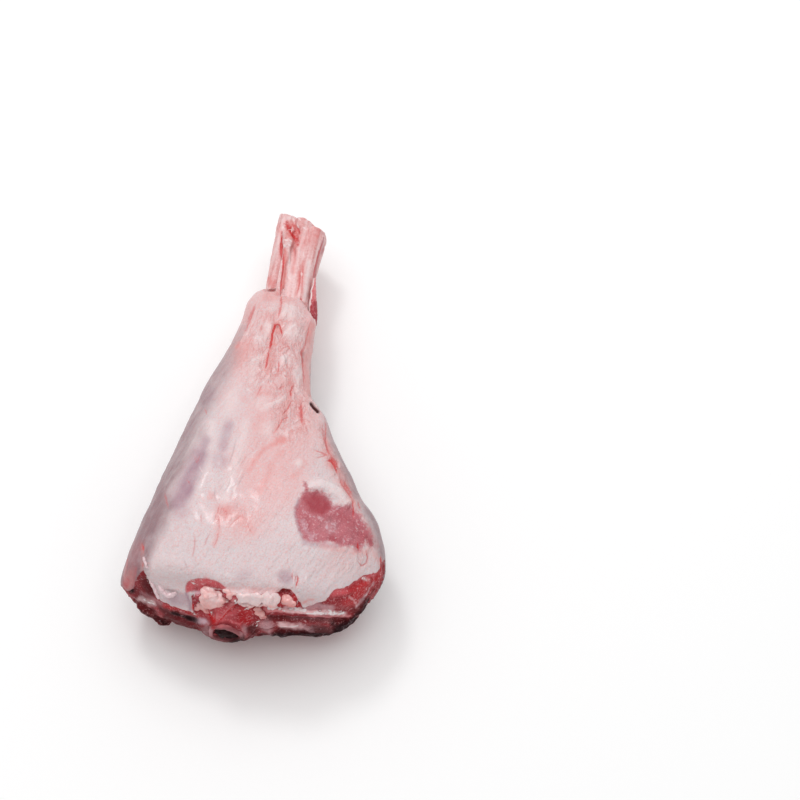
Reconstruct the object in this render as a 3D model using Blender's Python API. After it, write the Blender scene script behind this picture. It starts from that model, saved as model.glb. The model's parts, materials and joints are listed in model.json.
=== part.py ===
"""A raw lamb shank, lying on its side: one mass of meat in its silverskin, with the shin bone running through it.

Units are metres, +Z is up, and +Y points along the bone, from the sawn knee end to the trimmed hock end.
The origin is the middle of the flat spot that the meat rests on, straight under the bone.
"""

import math

import bmesh
import bpy

MM = 0.001

# Driving dimensions, all in metres.
GAP = 0.3 * MM  # clearance that touching pieces keep
MEAT_START = -64 * MM  # y of the cut face at its foremost point
COLLAR_END = 102 * MM  # y where the meat's sheath stops round the bone
HOCK_END = 146 * MM  # y of the bone's tip
BONE_HEIGHT = 28 * MM  # height of the bone's axis at the sawn knee end
BONE_SAWN_END = -65.2 * MM
TIP_SLANT = 0.30  # how far the bone's tip is swept back, for each unit across
MARROW_RADIUS = 5.5 * MM
MARROW_LENGTH = 150 * MM
TENDON_START = 88 * MM  # y where both tendons begin, inside the collar

# How finely the solids are cut.
MEAT_RINGS, MEAT_SIDES, FACE_RINGS = 44, 56, 8
BONE_RINGS, BONE_SIDES = 26, 24
CORD_SIDES = 12

# The meat's cross-sections in millimetres: y, reach to the left and right of the bone, underside, top.
MEAT_SECTIONS = (
    (-66, 42.0, 46.0, 11.0, 49.0),
    (-46, 48.2, 55.6, 0.5, 57.0),
    (-28, 45.6, 61.8, -2.8, 60.5),
    (-8, 41.3, 56.4, -3.4, 60.0),
    (3, 39.2, 47.6, -3.4, 58.4),
    (12, 37.5, 42.8, -3.3, 57.0),
    (30, 34.2, 31.8, -2.8, 53.0),
    (41, 32.0, 26.6, -1.2, 50.4),
    (49, 30.1, 19.2, 0.6, 48.5),
    (58, 27.4, 16.6, 3.0, 46.2),
    (72, 23.0, 14.4, 6.4, 43.0),
    (86, 20.2, 13.4, 9.2, 40.0),
    (98, 18.8, 12.2, 11.6, 37.6),
    (105, 14.0, 11.6, 13.4, 35.6),
)

# The bone's cross-sections in millimetres: y, centre across, centre height, half width, half height.
BONE_SECTIONS = (
    (-66, 0.0, 28.0, 7.6, 7.6),
    (-40, 0.0, 28.0, 7.4, 7.3),
    (10, 0.0, 27.8, 7.0, 6.8),
    (60, -0.8, 27.0, 7.4, 7.2),
    (90, -2.4, 25.8, 8.8, 8.4),
    (112, -2.8, 25.0, 9.0, 8.8),
    (132, -2.6, 24.4, 9.5, 9.3),
    (146, -2.4, 24.2, 9.8, 9.5),
)


def smooth_table(rows, y):
    """The values of a table of sections at y (millimetres), along a curve that never overshoots its rows."""
    if y <= rows[0][0]:
        return list(rows[0][1:])
    if y >= rows[-1][0]:
        return list(rows[-1][1:])
    i = max(k for k in range(len(rows) - 1) if rows[k][0] <= y)
    span = rows[i + 1][0] - rows[i][0]
    t = (y - rows[i][0]) / span
    values = []
    for column in range(1, len(rows[0])):
        slope_a = section_slope(rows, i, column) * span
        slope_b = section_slope(rows, i + 1, column) * span
        a, b = rows[i][column], rows[i + 1][column]
        values.append(
            a * (2 * t**3 - 3 * t**2 + 1)
            + slope_a * (t**3 - 2 * t**2 + t)
            + b * (3 * t**2 - 2 * t**3)
            + slope_b * (t**3 - t**2)
        )
    return values


def section_slope(rows, i, column):
    """The slope through row i, level at a peak or an end."""
    if i in (0, len(rows) - 1):
        j = max(1, min(i, len(rows) - 1))
        return (rows[j][column] - rows[j - 1][column]) / (rows[j][0] - rows[j - 1][0])
    before = (rows[i][column] - rows[i - 1][column]) / (rows[i][0] - rows[i - 1][0])
    after = (rows[i + 1][column] - rows[i][column]) / (rows[i + 1][0] - rows[i][0])
    if before * after <= 0:
        return 0.0
    return 2 * before * after / (before + after)


def hump(x, y, centre, reach, turn=0.0):
    """A soft mound: 1 at its centre, falling to about 0 at its reach along two axes turned by an angle."""
    dx, dy = x - centre[0], y - centre[1]
    c, s = math.cos(math.radians(turn)), math.sin(math.radians(turn))
    along, across = dx * c + dy * s, dy * c - dx * s
    return math.exp(-2.2 * ((along / reach[0]) ** 2 + (across / reach[1]) ** 2))


def distance_to_line(x, y, points):
    """The distance from a point to a line of straight stretches."""
    best = math.inf
    for (ax, ay), (bx, by) in zip(points, points[1:]):
        dx, dy = bx - ax, by - ay
        t = max(0.0, min(1.0, ((x - ax) * dx + (y - ay) * dy) / (dx * dx + dy * dy)))
        best = min(best, math.hypot(x - ax - t * dx, y - ay - t * dy))
    return best


def furrow(x, y, points, width):
    """1 on a line, falling to about 0 at its width."""
    return math.exp(-2.2 * (distance_to_line(x, y, points) / width) ** 2)


def top_relief(x, y):
    """How far the upper side stands proud of the plain section, in millimetres."""
    return (
        1.6 * hump(x, y, (44, -24), (20, 15), -35)  # bared muscle on the right
        + 2.4 * furrow(x, y, ((31, -6), (40, -4), (50, -11), (57, -23)), 4.5)  # fat roll above it
        + 1.4 * hump(x, y, (-18, 2), (13, 52), -12)  # long muscle on the left
        - 2.0 * furrow(x, y, ((15, 42), (12, 20), (2, 2), (-8, -18)), 8)  # valley between the two
        - 1.0 * furrow(x, y, ((-27, 40), (-33, 0), (-36, -30)), 5)
        + 1.2 * furrow(x, y, ((-12, 90), (0, 88), (9, 82), (13, 70)), 6)  # thick end of the sheath
        - 1.6 * furrow(x, y, ((3, 83), (-2, 70), (-4, 56)), 3)  # split in the sheath
    )


def side_relief(angle, y):
    """Shallow seams between the muscles, which run down the flanks and the underside towards the hock."""
    fade = 1 - max(0.0, (y - 40) / 60)
    depth = 0.0
    for degrees, deep in ((172, 1.6), (196, 2.0), (216, 1.6), (314, 1.8), (328, 2.2), (352, 2.4)):
        away = math.remainder(angle - math.radians(degrees + 0.10 * y), 2 * math.pi)
        depth += deep * math.exp(-((away / 0.11) ** 2))
    return -depth * max(0.0, fade)


def face_relief(x, z):
    """How far the cut face bulges towards the viewer, in millimetres."""
    return (
        3.2 * hump(x, z, (42, 34), (19, 10), -12)  # upper muscle on the right
        + 2.6 * hump(x, z, (28, 14), (17, 6.5), 4)  # lower muscle on the right
        + 2.4 * hump(x, z, (-29, 30), (15, 12), -12)  # muscle on the left
        - 2.2 * furrow(x, z, ((12, 43), (28, 42), (47, 45)), 3.0)  # silver seam
        - 2.8 * furrow(x, z, ((9, 25), (26, 23), (42, 21)), 3.0)
        - 2.0 * furrow(x, z, ((-9, 44), (-14, 30), (-11, 14)), 3.5)
    )


def cut_face_y(x, z):
    """y of the cut face in millimetres: foremost round the bone, swept back to both corners and to the top."""
    if x < 0:
        swept = 0.29 * (math.hypot(x, 9) - 9)
    else:
        swept = 6.2 * x**2 / (x**2 + 90) + 18 * (x / 56) ** 12
    lean = 0.0074 * max(0.0, z - 22) ** 2 + 0.010 * max(0.0, 22 - z) ** 2
    beside = math.exp(-(((x - 20) / 14) ** 2))  # to the right of the bone the upper edge comes forward
    lean += beside * (2.4 * max(0.0, (22 - z) / 20) - 4.6 * max(0.0, (z - 26) / 26))
    return MEAT_START / MM + swept + lean


def section_point(y, angle, shrink=0.0):
    """(x, z) in millimetres on the meat's section at y, drawn in by shrink."""
    left, right, under, top = smooth_table(MEAT_SECTIONS, y)
    middle = under + 0.46 * (top - under)
    c, s = math.cos(angle), math.sin(angle)
    square = 2.3 if s > 0 else 2.35
    across = math.copysign(abs(c) ** (2 / square), c)
    up = math.copysign(abs(s) ** (2 / square), s)
    shrink -= side_relief(angle, y)
    x = (right - shrink if c > 0 else left - shrink) * across
    z = middle + (top - middle - shrink if s > 0 else middle - under - shrink) * up
    return x, z


def meat_side_point(t, angle):
    """A point of the meat's side: t is 0 at the cut face's edge and 1 at the collar."""
    rim_x, rim_z = section_point(-50, angle)
    rim_y = cut_face_y(rim_x, rim_z)
    y = rim_y + (COLLAR_END / MM - rim_y) * t
    rounding = 6.0
    depth = min(1.0, (y - rim_y) / rounding)
    shrink = rounding * (1 - math.sqrt(1 - (1 - depth) ** 2))
    x, z = section_point(y, angle, shrink)
    upward = max(0.0, math.sin(angle))
    z += top_relief(x, y) * upward**0.7
    return x, y, max(z, 0.0)


def meat_face_point(q, angle):
    """A point of the cut face: q is 1 at its edge and 0 at the bone."""
    edge_x, edge_y, edge_z = meat_side_point(0.0, angle)
    centre_z = BONE_HEIGHT / MM
    x, z = edge_x * q, centre_z + (edge_z - centre_z) * q
    level = cut_face_y(x, z) + (edge_y - cut_face_y(edge_x, edge_z)) * q**4
    return x, level - face_relief(x, z) * (1 - q**6), z


def skin_of_rings(bm, rings):
    """Joins rings of points (millimetres) with quads and closes both ends with fans."""
    loops = []
    for ring in rings:
        loops.append([bm.verts.new([v * MM for v in point]) for point in ring])
    for first, second in zip(loops, loops[1:]):
        for k in range(len(first)):
            after = (k + 1) % len(first)
            bm.faces.new((first[k], first[after], second[after], second[k]))
    for loop in (loops[0], loops[-1]):
        hub = bm.verts.new([sum(v.co[axis] for v in loop) / len(loop) for axis in range(3)])
        for k in range(len(loop)):
            bm.faces.new((loop[k], loop[(k + 1) % len(loop)], hub))
    bmesh.ops.recalc_face_normals(bm, faces=bm.faces)


def solid(name, rings, material=None):
    """An object whose closed skin runs through the rings."""
    bm = bmesh.new()
    skin_of_rings(bm, rings)
    mesh = bpy.data.meshes.new(name)
    bm.to_mesh(mesh)
    bm.free()
    obj = bpy.data.objects.new(name, mesh)
    bpy.context.scene.collection.objects.link(obj)
    mesh.shade_smooth()
    if material:
        mesh.materials.append(material)
    return obj


def finish(name, colour, roughness):
    """A material of one colour."""
    material = bpy.data.materials.new(name)
    material.use_nodes = True
    shader = material.node_tree.nodes["Principled BSDF"]
    shader.inputs["Base Color"].default_value = (*colour, 1)
    shader.inputs["Roughness"].default_value = roughness
    shader.inputs["Metallic"].default_value = 0.0
    return material


def meat_rings():
    """Rings from the middle of the cut face, over its edge and along the side to the collar."""
    turn = [2 * math.pi * k / MEAT_SIDES for k in range(MEAT_SIDES)]
    rings = []
    for k in range(1, FACE_RINGS):
        rings.append([meat_face_point(k / FACE_RINGS, a) for a in turn])
    for k in range(MEAT_RINGS + 1):
        t = (k / MEAT_RINGS) ** 1.35  # closer together near the cut face
        rings.append([meat_side_point(t, a) for a in turn])
    return rings


def bone_ring(y, grow=0.0, end_slant=0.0):
    """A ring of the bone at y, all in millimetres, with the tendon's groove along its upper side near the hock."""
    centre_x, centre_z, half_x, half_z = smooth_table(BONE_SECTIONS, y)
    groove_depth = 2.6 * max(0.0, min(1.0, (y - 78) / 16))
    ring = []
    for k in range(BONE_SIDES):
        angle = 2 * math.pi * k / BONE_SIDES
        away = math.remainder(angle - math.radians(103), 2 * math.pi)
        sunk = groove_depth * math.exp(-((away / 0.27) ** 2))
        flat = 1 - 0.05 * math.cos(3 * angle + 0.6)  # a shin bone is slightly three-sided
        x = centre_x + (half_x * flat + grow - sunk) * math.cos(angle)
        z = centre_z + (half_z * flat + grow - sunk) * math.sin(angle)
        ring.append((x, y - end_slant * (x - centre_x + half_x), z))
    return ring


def bone_rings(grow=0.0, beyond=0.0):
    """The bone from its sawn end to its slanting, rounded tip. A cutter is grown, and runs beyond both ends."""
    start, end = BONE_SAWN_END / MM - beyond, HOCK_END / MM + beyond
    rings = []
    for k in range(BONE_RINGS + 1):
        y = start + (end - start) * k / BONE_RINGS
        slant = TIP_SLANT * max(0.0, (y - 112) / (end - 112)) ** 2
        rings.append(bone_ring(y, grow, slant))
    if not beyond:
        for drawn_in in (0.9, 2.6):
            rings.append(bone_ring(end + 0.5 * drawn_in, -drawn_in, TIP_SLANT))
    return rings


def tube_rings(path, sides=CORD_SIDES, grow=0.0):
    """Rings of an oval cord along y. Each row of the path is y, x, z, half width, half height in millimetres."""
    rings = []
    for y, x, z, half_x, half_z in path:
        ring = []
        for k in range(sides):
            angle = 2 * math.pi * k / sides
            ring.append(
                (x + (half_x + grow) * math.cos(angle), y, z + (half_z + grow) * math.sin(angle))
            )
        rings.append(ring)
    return rings


def front_tendon_path():
    """The thin tendon that lies in the bone's groove and swells into a knob near the tip."""
    start, end, knob_y = TENDON_START / MM, 135, 129.5
    path = []
    for k in range(17):
        y = start + (end - start) * k / 16
        centre_x, centre_z, half_x, half_z = smooth_table(BONE_SECTIONS, y)
        knob = math.exp(-(((y - knob_y) / 3.4) ** 2))
        thickness = 1.3 + 1.2 * knob
        x = centre_x + half_x * math.cos(math.radians(103))
        path.append((y, x, centre_z + half_z - 0.6, thickness * 1.15, thickness))
    return path


def side_tendon_path():
    """The broad tendon that wraps the bone's right side. The bone is carved out of it."""
    start, end = TENDON_START / MM, 138
    path = []
    for k in range(15):
        t = k / 14
        y = start + (end - start) * t
        centre_x, centre_z, half_x, half_z = smooth_table(BONE_SECTIONS, y)
        flare = math.exp(-(((y - 134) / 12) ** 2))
        path.append((y, centre_x + 0.86 * half_x, centre_z + 1.6, 4.6 + 1.0 * flare, 0.86 * half_z))
    return path


def lump(name, centre, reach, turn=0.0):
    """A small rounded piece of fat or flesh, in millimetres, to be fused with the meat."""
    bpy.ops.mesh.primitive_ico_sphere_add(subdivisions=2, radius=1.0)
    obj = bpy.context.object
    obj.name = name
    for vertex in obj.data.vertices:
        x, y, z = (vertex.co[axis] * reach[axis] for axis in range(3))
        c, s = math.cos(math.radians(turn)), math.sin(math.radians(turn))
        vertex.co = [
            (centre[0] + x * c - z * s) * MM,
            (centre[1] + y) * MM,
            (centre[2] + x * s + z * c) * MM,
        ]
    return obj


def rim_fat():
    """Lumps of fat along the upper edge of the cut face: x, height, half length and half depth, in millimetres."""
    lumps = (
        (-7.0, 47.0, 7.0, 3.6),
        (2.5, 50.0, 4.6, 2.6),
        (8.5, 50.5, 4.0, 2.4),
        (13.5, 50.0, 3.4, 2.2),
        (19.0, 50.0, 4.6, 3.2),
        (26.5, 48.5, 3.6, 2.6),
    )
    made = []
    for x, z, long, deep in lumps:
        y = cut_face_y(x, z) + 1.4
        made.append(lump("fat", (x, y, z), (long, deep, 0.8 * deep + 0.4), turn=-5))
    return made


def torn_flap():
    """The tongue of meat that hangs at the cut face's lower left corner."""
    made = []
    for x, z, long, deep, sunk in ((-34.5, 19.5, 7.0, 4.2, 2.4), (-29.0, 15.0, 5.0, 3.0, 1.0)):
        made.append(lump("flap", (x, cut_face_y(x, z) + sunk, z), (long, deep, 0.8 * deep), turn=-34))
    return made


def collar_folds():
    """The sliver of muscle that runs up behind the side tendon, and the thick fold of the sheath below it."""
    return [
        lump("sliver", (10.6, 102, 19.5), (2.3, 17, 4.2)),
        lump("fold", (10.6, 84, 30), (3.6, 13, 7)),
    ]


def join(base, others):
    """Fuses the others into base with one applied Boolean union, and removes them."""
    group = bpy.data.collections.new("fused")
    for obj in others:
        group.objects.link(obj)
    modifier = base.modifiers.new("union", "BOOLEAN")
    modifier.operand_type = "COLLECTION"
    modifier.operation = "UNION"
    modifier.solver = "EXACT"
    modifier.collection = group
    apply_modifier(base, modifier)
    for obj in others:
        bpy.data.objects.remove(obj)
    bpy.data.collections.remove(group)


def carve(base, cutter):
    """Cuts the cutter out of base, and removes it."""
    modifier = base.modifiers.new("cut", "BOOLEAN")
    modifier.operation = "DIFFERENCE"
    modifier.solver = "EXACT"
    modifier.object = cutter
    apply_modifier(base, modifier)
    bpy.data.objects.remove(cutter)


def apply_modifier(obj, modifier):
    """Applies one modifier of an object."""
    bpy.ops.object.select_all(action="DESELECT")
    bpy.context.view_layer.objects.active = obj
    obj.select_set(True)
    bpy.ops.object.modifier_apply(modifier=modifier.name)


def make_bone(material):
    """The shin bone, hollow for its marrow."""
    bone = solid("bone", bone_rings(), material)
    carve(bone, solid("hollow", tube_rings(marrow_path(GAP / MM, beyond=4), 20)))
    return bone


def marrow_path(grow=0.0, beyond=0.0):
    """The marrow's rings. It narrows towards the hock. A cutter is grown, and starts beyond the sawn end."""
    sawn, length, radius = BONE_SAWN_END / MM, MARROW_LENGTH / MM, MARROW_RADIUS / MM
    start, end = sawn + 0.6 - beyond, sawn + length + grow
    path = []
    for k in range(9):
        y = start + (end - start) * k / 8
        along = (y - sawn) / length
        reach = (radius + grow) * (1 - 0.28 * max(0.0, along))
        path.append((y, 0.0, BONE_HEIGHT / MM - 0.9 * along, reach, reach))
    return path


def make_marrow(material):
    """The soft core of the bone."""
    return solid("marrow", tube_rings(marrow_path(), 20), material)


def bone_cutter():
    """The bone, grown by the clearance and longer at both ends."""
    return solid("bone_channel", bone_rings(GAP / MM, beyond=6))


def make_tendon(name, path, material):
    """A tendon that lies close on the bone."""
    tendon = solid(name, tube_rings(path), material)
    carve(tendon, bone_cutter())
    return tendon


def make_meat(material):
    """The meat with its fat and flaps, and with channels for the bone and the tendons."""
    meat = solid("meat", meat_rings(), material)
    join(meat, rim_fat() + torn_flap() + collar_folds())
    carve(meat, bone_cutter())
    carve(meat, lump("notch", (19.4, 47.6, 33.5), (3.6, 3.4, 2.0), turn=-40))
    for path in (front_tendon_path(), side_tendon_path()):
        carve(meat, solid("tendon_channel", tube_rings(path, grow=GAP / MM)))
    meat.data.shade_smooth()
    return meat


def main():
    for obj in list(bpy.data.objects):
        bpy.data.objects.remove(obj)
    silverskin = finish("silverskin", (0.72, 0.50, 0.50), 0.35)
    bone_white = finish("bone_white", (0.78, 0.55, 0.52), 0.40)
    dark_marrow = finish("dark_marrow", (0.16, 0.02, 0.02), 0.45)
    sinew = finish("sinew", (0.80, 0.62, 0.62), 0.25)
    make_meat(silverskin)
    make_bone(bone_white)
    make_marrow(dark_marrow)
    make_tendon("tendon_front", front_tendon_path(), sinew)
    make_tendon("tendon_side", side_tendon_path(), sinew)


main()
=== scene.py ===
"""A raw lamb shank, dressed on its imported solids: silverskin over muscle, a sawn knee end and a trimmed hock.

Run as a script. Each piece is made by one operator, listed in the shank panel of the 3D view's sidebar.
Shape notes are points in the camera's own 800 by 800 frame, laid onto the meat along the line of sight.
"""

import copy
import json
import math

import bpy
import numpy as np
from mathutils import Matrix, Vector
from mathutils.bvhtree import BVHTree

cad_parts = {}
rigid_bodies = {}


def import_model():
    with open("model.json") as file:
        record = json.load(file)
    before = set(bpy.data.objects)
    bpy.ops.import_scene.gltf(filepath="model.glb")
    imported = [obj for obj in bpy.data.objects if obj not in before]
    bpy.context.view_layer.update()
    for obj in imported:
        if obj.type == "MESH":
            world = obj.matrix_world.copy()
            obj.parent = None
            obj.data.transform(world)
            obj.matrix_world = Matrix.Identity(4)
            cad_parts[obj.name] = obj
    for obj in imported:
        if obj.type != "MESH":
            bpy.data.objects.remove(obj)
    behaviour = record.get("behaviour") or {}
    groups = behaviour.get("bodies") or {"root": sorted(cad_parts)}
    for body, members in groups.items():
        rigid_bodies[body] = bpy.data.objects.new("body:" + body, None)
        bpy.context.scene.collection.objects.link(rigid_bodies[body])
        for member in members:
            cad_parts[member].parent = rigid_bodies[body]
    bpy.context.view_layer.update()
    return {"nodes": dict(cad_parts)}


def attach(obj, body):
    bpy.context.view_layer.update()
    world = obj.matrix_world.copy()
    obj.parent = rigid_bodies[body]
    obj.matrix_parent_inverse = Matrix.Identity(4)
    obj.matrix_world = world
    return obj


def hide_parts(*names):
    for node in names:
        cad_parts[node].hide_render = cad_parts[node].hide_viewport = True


bl_info = {
    "name": "Raw lamb shank",
    "version": (1, 0, 0),
    "blender": (4, 5, 0),
    "location": "View3D > Sidebar > Shank",
    "description": "Makes a raw lamb shank with its bone, fat and silverskin",
    "category": "Object",
}

MM = 0.001
FRAME_SIZE = 800  # width and height of the camera's frame, in its own units
UNITS_PER_MM = 2.4  # frame units that a millimetre of the knee end covers
SENSOR = 36.0  # width of the camera's sensor, mm
BONE_Z = 28.0  # height of the sawn bone's middle, mm
FRONT_Y, FOREMOST_Y = -65.1, -65.2  # y of the sawn bone's face, and y that its unevenness stops at, mm
RIM_Y = -64.3  # y that the skin is drawn out to round the sawn bone, mm
CORE_INSIDE = -0.058  # y in metres that bone and marrow are held back to under the skin
HOCK_START, COLLAR_TOP = 0.088, 0.108  # y in metres where the hock begins, and where the skin round it ends at most

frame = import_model()


def linear(code):
    """The scene-linear colour of a six-digit hex code."""
    shown = [int(code[k : k + 2], 16) / 255 for k in (0, 2, 4)]
    return tuple(c / 12.92 if c <= 0.04045 else ((c + 0.055) / 1.055) ** 2.4 for c in shown)


# ---- Settings ----


def colour(name, description, code):
    """A colour property with a hex code as its default."""
    return bpy.props.FloatVectorProperty(
        name=name, description=description, subtype="COLOR", size=3, min=0, max=1, default=linear(code)
    )


def length(name, description, default, low, high):
    """A length property, in metres."""
    return bpy.props.FloatProperty(
        name=name, description=description, unit="LENGTH", default=default, min=low, max=high
    )


class ViewSettings(bpy.types.PropertyGroup):
    """Where the camera stands."""

    azimuth: bpy.props.FloatProperty(
        name="Azimuth", description="Turn of the camera round the shank", subtype="ANGLE", default=math.radians(7.79)
    )
    elevation: bpy.props.FloatProperty(
        name="Elevation", description="Height of the camera as an angle", subtype="ANGLE", default=math.radians(60)
    )
    place: bpy.props.FloatVectorProperty(
        name="Place", description="Where the camera stands", subtype="TRANSLATION", default=(0.1223, -0.4264, 0.8714)
    )
    lens: bpy.props.FloatProperty(
        name="Lens", description="Focal length in millimetres", default=100, min=20, max=300
    )


class SkinSettings(bpy.types.PropertyGroup):
    """The silverskin's fineness and colours."""

    voxel: length("Voxel", "Grid that the skin is drawn on", 0.86 * MM, 0.4 * MM, 3 * MM)
    cool: colour("Cool membrane", "Pale silverskin", "d8c6c8")
    rosy: colour("Rosy membrane", "Silverskin with blood under it", "dfb6b6")
    white: colour("Fascia", "Thick white fascia", "e6d6d6")
    mauve: colour("Mauve", "Muscle seen through the silverskin", "a5818f")
    # Flank tone: partly the muscle under the silverskin, partly painted shade where the sides turn from the light.
    flank_tone_and_shade: colour("Flank", "Silverskin on the flanks", "88676d")
    blush: colour("Blush", "Blood just under the silverskin", "dd8c88")
    vein: colour("Vein", "Red hairlines and slits", "c92224")


class FleshSettings(bpy.types.PropertyGroup):
    """The colours that bare flesh and bone are painted with."""

    flesh: colour("Flesh", "Plain cut muscle", "96343a")
    dark: colour("Dark", "Muscle in shade", "6a2024")
    # Painted shade in clefts and low on the cut face.
    deep: colour("Deep", "The darkest clefts", "260a0f")
    red: colour("Red", "Fresh muscle", "b4383c")
    bright: colour("Bright", "The brightest muscle", "b5363a")
    rose: colour("Rose", "Muscle under thin film", "cb5c62")
    pink: colour("Pink", "Film with blood in it", "dc8a8e")
    # Pale film, also laid as painted highlights on wet film.
    pale: colour("Pale", "Glossy pale film", "f0c6c8")
    brown: colour("Brown", "Dried muscle", "7f484b")
    dusk: colour("Dusk", "Grey pink film", "be8e93")
    mauve: colour("Mauve", "Film over dark muscle", "cca8b2")
    white: colour("White", "White film", "f4ecec")
    blood: colour("Blood", "Blood at the bone", "aa262b")
    patch: colour("Patch", "The bare patch", "b96b74")
    core: colour("Core", "The middle of the bare patch", "a03e48")
    bone: colour("Bone", "Sawn bone", "96595d")


class FatSettings(bpy.types.PropertyGroup):
    """The fat and fascia on the cut edge."""

    pale: colour("Fat", "Firm white fat", "e4cccc")
    pink: colour("Pink fat", "Fat stained by blood", "de9c98")
    silver: colour("Silver", "Glossy fascia", "dfc4c8")
    lump_size: bpy.props.FloatProperty(
        name="Lump size", description="Size of every lump against its noted size", default=1.0, min=0.5, max=1.5
    )


class BoneSettings(bpy.types.PropertyGroup):
    """The sawn end of the bone and the hock."""

    radius: length("Radius", "Outer radius of the sawn bone", 7.4 * MM, 5 * MM, 10 * MM)
    wall: length("Wall", "Thickness of the hard wall", 1.8 * MM, 1 * MM, 4 * MM)
    hard: colour("Bone", "Hard wall of the bone", "9c5a5e")
    core: colour("Marrow", "Dark red marrow", "220609")
    hock_voxel: length("Hock voxel", "Grid that the hock is drawn on", 0.42 * MM, 0.3 * MM, 2 * MM)


class ShankSettings(bpy.types.PropertyGroup):
    """All settings of the shank."""

    view: bpy.props.PointerProperty(type=ViewSettings)
    skin: bpy.props.PointerProperty(type=SkinSettings)
    flesh: bpy.props.PointerProperty(type=FleshSettings)
    fat: bpy.props.PointerProperty(type=FatSettings)
    bone: bpy.props.PointerProperty(type=BoneSettings)


def settings():
    """The shank's settings in this scene."""
    return bpy.context.scene.shank


# ---- Shader maths ----


class Value:
    """A number socket of a material, which Python's operators combine through Math nodes."""

    def __init__(self, finish, socket):
        self.finish, self.socket = finish, socket

    def math(self, operation, *others, swap=False):
        made = self.finish.node("ShaderNodeMath", {"operation": operation})
        terms = (*others, self) if swap else (self, *others)
        for k, value in enumerate(terms):
            self.finish.feed(made.inputs[k], value)
        return Value(self.finish, made.outputs[0])

    def __add__(self, other):
        return self.math("ADD", other)

    __radd__ = __add__

    def __mul__(self, other):
        return self.math("MULTIPLY", other)

    __rmul__ = __mul__

    def __sub__(self, other):
        return self.math("SUBTRACT", other)

    def __rsub__(self, other):
        return self.math("SUBTRACT", other, swap=True)

    def __abs__(self):
        return self.math("ABSOLUTE")

    def over(self, low, high):
        """0 below low and 1 above high, with a soft step between. low may be the larger."""
        flip = low > high
        made = self.finish.node(
            "ShaderNodeMapRange", {"interpolation_type": "SMOOTHSTEP"},
            From_Min=min(low, high), From_Max=max(low, high), Value=self,
        )
        result = Value(self.finish, made.outputs[0])
        return 1 - result if flip else result

    def held(self):
        """Held between 0 and 1."""
        made = self.finish.node("ShaderNodeClamp", {}, Value=self)
        return Value(self.finish, made.outputs[0])


class Finish:
    """One procedural material."""

    def __init__(self, name):
        self.material = bpy.data.materials.new(name)
        self.material.use_nodes = True
        self.tree = self.material.node_tree
        self.shader = self.tree.nodes["Principled BSDF"]
        self.place = self.tree.nodes.new("ShaderNodeTexCoord").outputs["Object"]

    def node(self, kind, settings, **sockets):
        """A node of a kind, with its settings made first and then its sockets fed."""
        made = self.tree.nodes.new(kind)
        for key, value in settings.items():
            setattr(made, key, value)
        for key, value in sockets.items():
            self.feed(made.inputs[key.replace("_", " ")], value)
        return made

    def feed(self, socket, value):
        """Links a socket or a Value, or sets a constant. A colour may be a hex code."""
        if isinstance(value, Value):
            value = value.socket
        elif isinstance(value, str):
            value = linear(value)
        if isinstance(value, bpy.types.NodeSocket):
            self.tree.links.new(value, socket)
        elif hasattr(value, "__len__"):
            parts = list(value)
            if len(socket.default_value) == 4 and len(parts) == 3:
                parts.append(1.0)
            socket.default_value = parts
        else:
            socket.default_value = value

    def attribute(self, name):
        """A number that was laid on the mesh's points."""
        made = self.node("ShaderNodeAttribute", {"attribute_name": name})
        return Value(self, made.outputs["Fac"])

    def colour(self, name):
        """A colour that was laid on the mesh's points."""
        return self.node("ShaderNodeAttribute", {"attribute_name": name}).outputs["Color"]

    def stretched(self, scale, turn=(0, 0, 0)):
        """Object coordinates, turned and then stretched."""
        turned = self.node("ShaderNodeMapping", {}, Vector=self.place, Rotation=turn)
        return self.node("ShaderNodeMapping", {}, Vector=turned.outputs[0], Scale=scale).outputs[0]

    def noise(self, size, detail=3.0, rough=0.55, place=None, warp=0.0):
        """Soft noise, about -0.5 to 0.5, with features of about size metres."""
        made = self.node(
            "ShaderNodeTexNoise", {}, Vector=place or self.place, Scale=0.5 / size, Detail=detail, Roughness=rough,
            Distortion=warp,
        )
        return Value(self, made.outputs[0]) - 0.5

    def cells(self, size, place=None, feature="DISTANCE_TO_EDGE"):
        """Distance to the nearest edge between cells of about size metres, or another distance in them."""
        made = self.node("ShaderNodeTexVoronoi", {"feature": feature}, Vector=place or self.place, Scale=1 / size)
        return Value(self, made.outputs["Distance"])

    def mix(self, factor, low, high):
        """A colour between two others."""
        made = self.node("ShaderNodeMix", {"data_type": "RGBA"})
        self.feed(made.inputs[0], factor)
        self.feed(made.inputs[6], low)
        self.feed(made.inputs[7], high)
        return made.outputs[2]

    def laid(self, colour, *coats):
        """A colour with others laid over it, each noted as a factor and a colour."""
        for factor, tone in coats:
            colour = self.mix(factor, colour, tone)
        return colour

    def line(self, name, wobble, wide=0.0):
        """1 on the lines laid under a name, as wide as they are noted plus some millimetres."""
        away = abs(self.attribute(name) + wobble) - self.attribute(name + "_half")
        return away.over(0.22 + wide, -0.05) * self.attribute(name + "_near")

    def bump(self, height, depth, strength=1.0):
        """A normal bent by a height, of the given depth in metres."""
        return self.node("ShaderNodeBump", {}, Strength=strength, Distance=depth, Height=height).outputs[0]

    def finish(self, **sockets):
        """Feeds the shader's sockets and returns the material."""
        for key, value in sockets.items():
            self.feed(self.shader.inputs[key.replace("_", " ")], value)
        return self.material


# ---- Line of sight ----


def sight_axes():
    """The camera's right, up and back directions."""
    view = settings().view
    a, e = view.azimuth, view.elevation
    back = Vector((math.sin(a) * math.cos(e), -math.cos(a) * math.cos(e), math.sin(e)))
    right = Vector((math.cos(a), math.sin(a), 0))
    return right, back.cross(right), back


def focal():
    """The camera's focal length, in frame units."""
    return settings().view.lens / SENSOR * FRAME_SIZE


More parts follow.
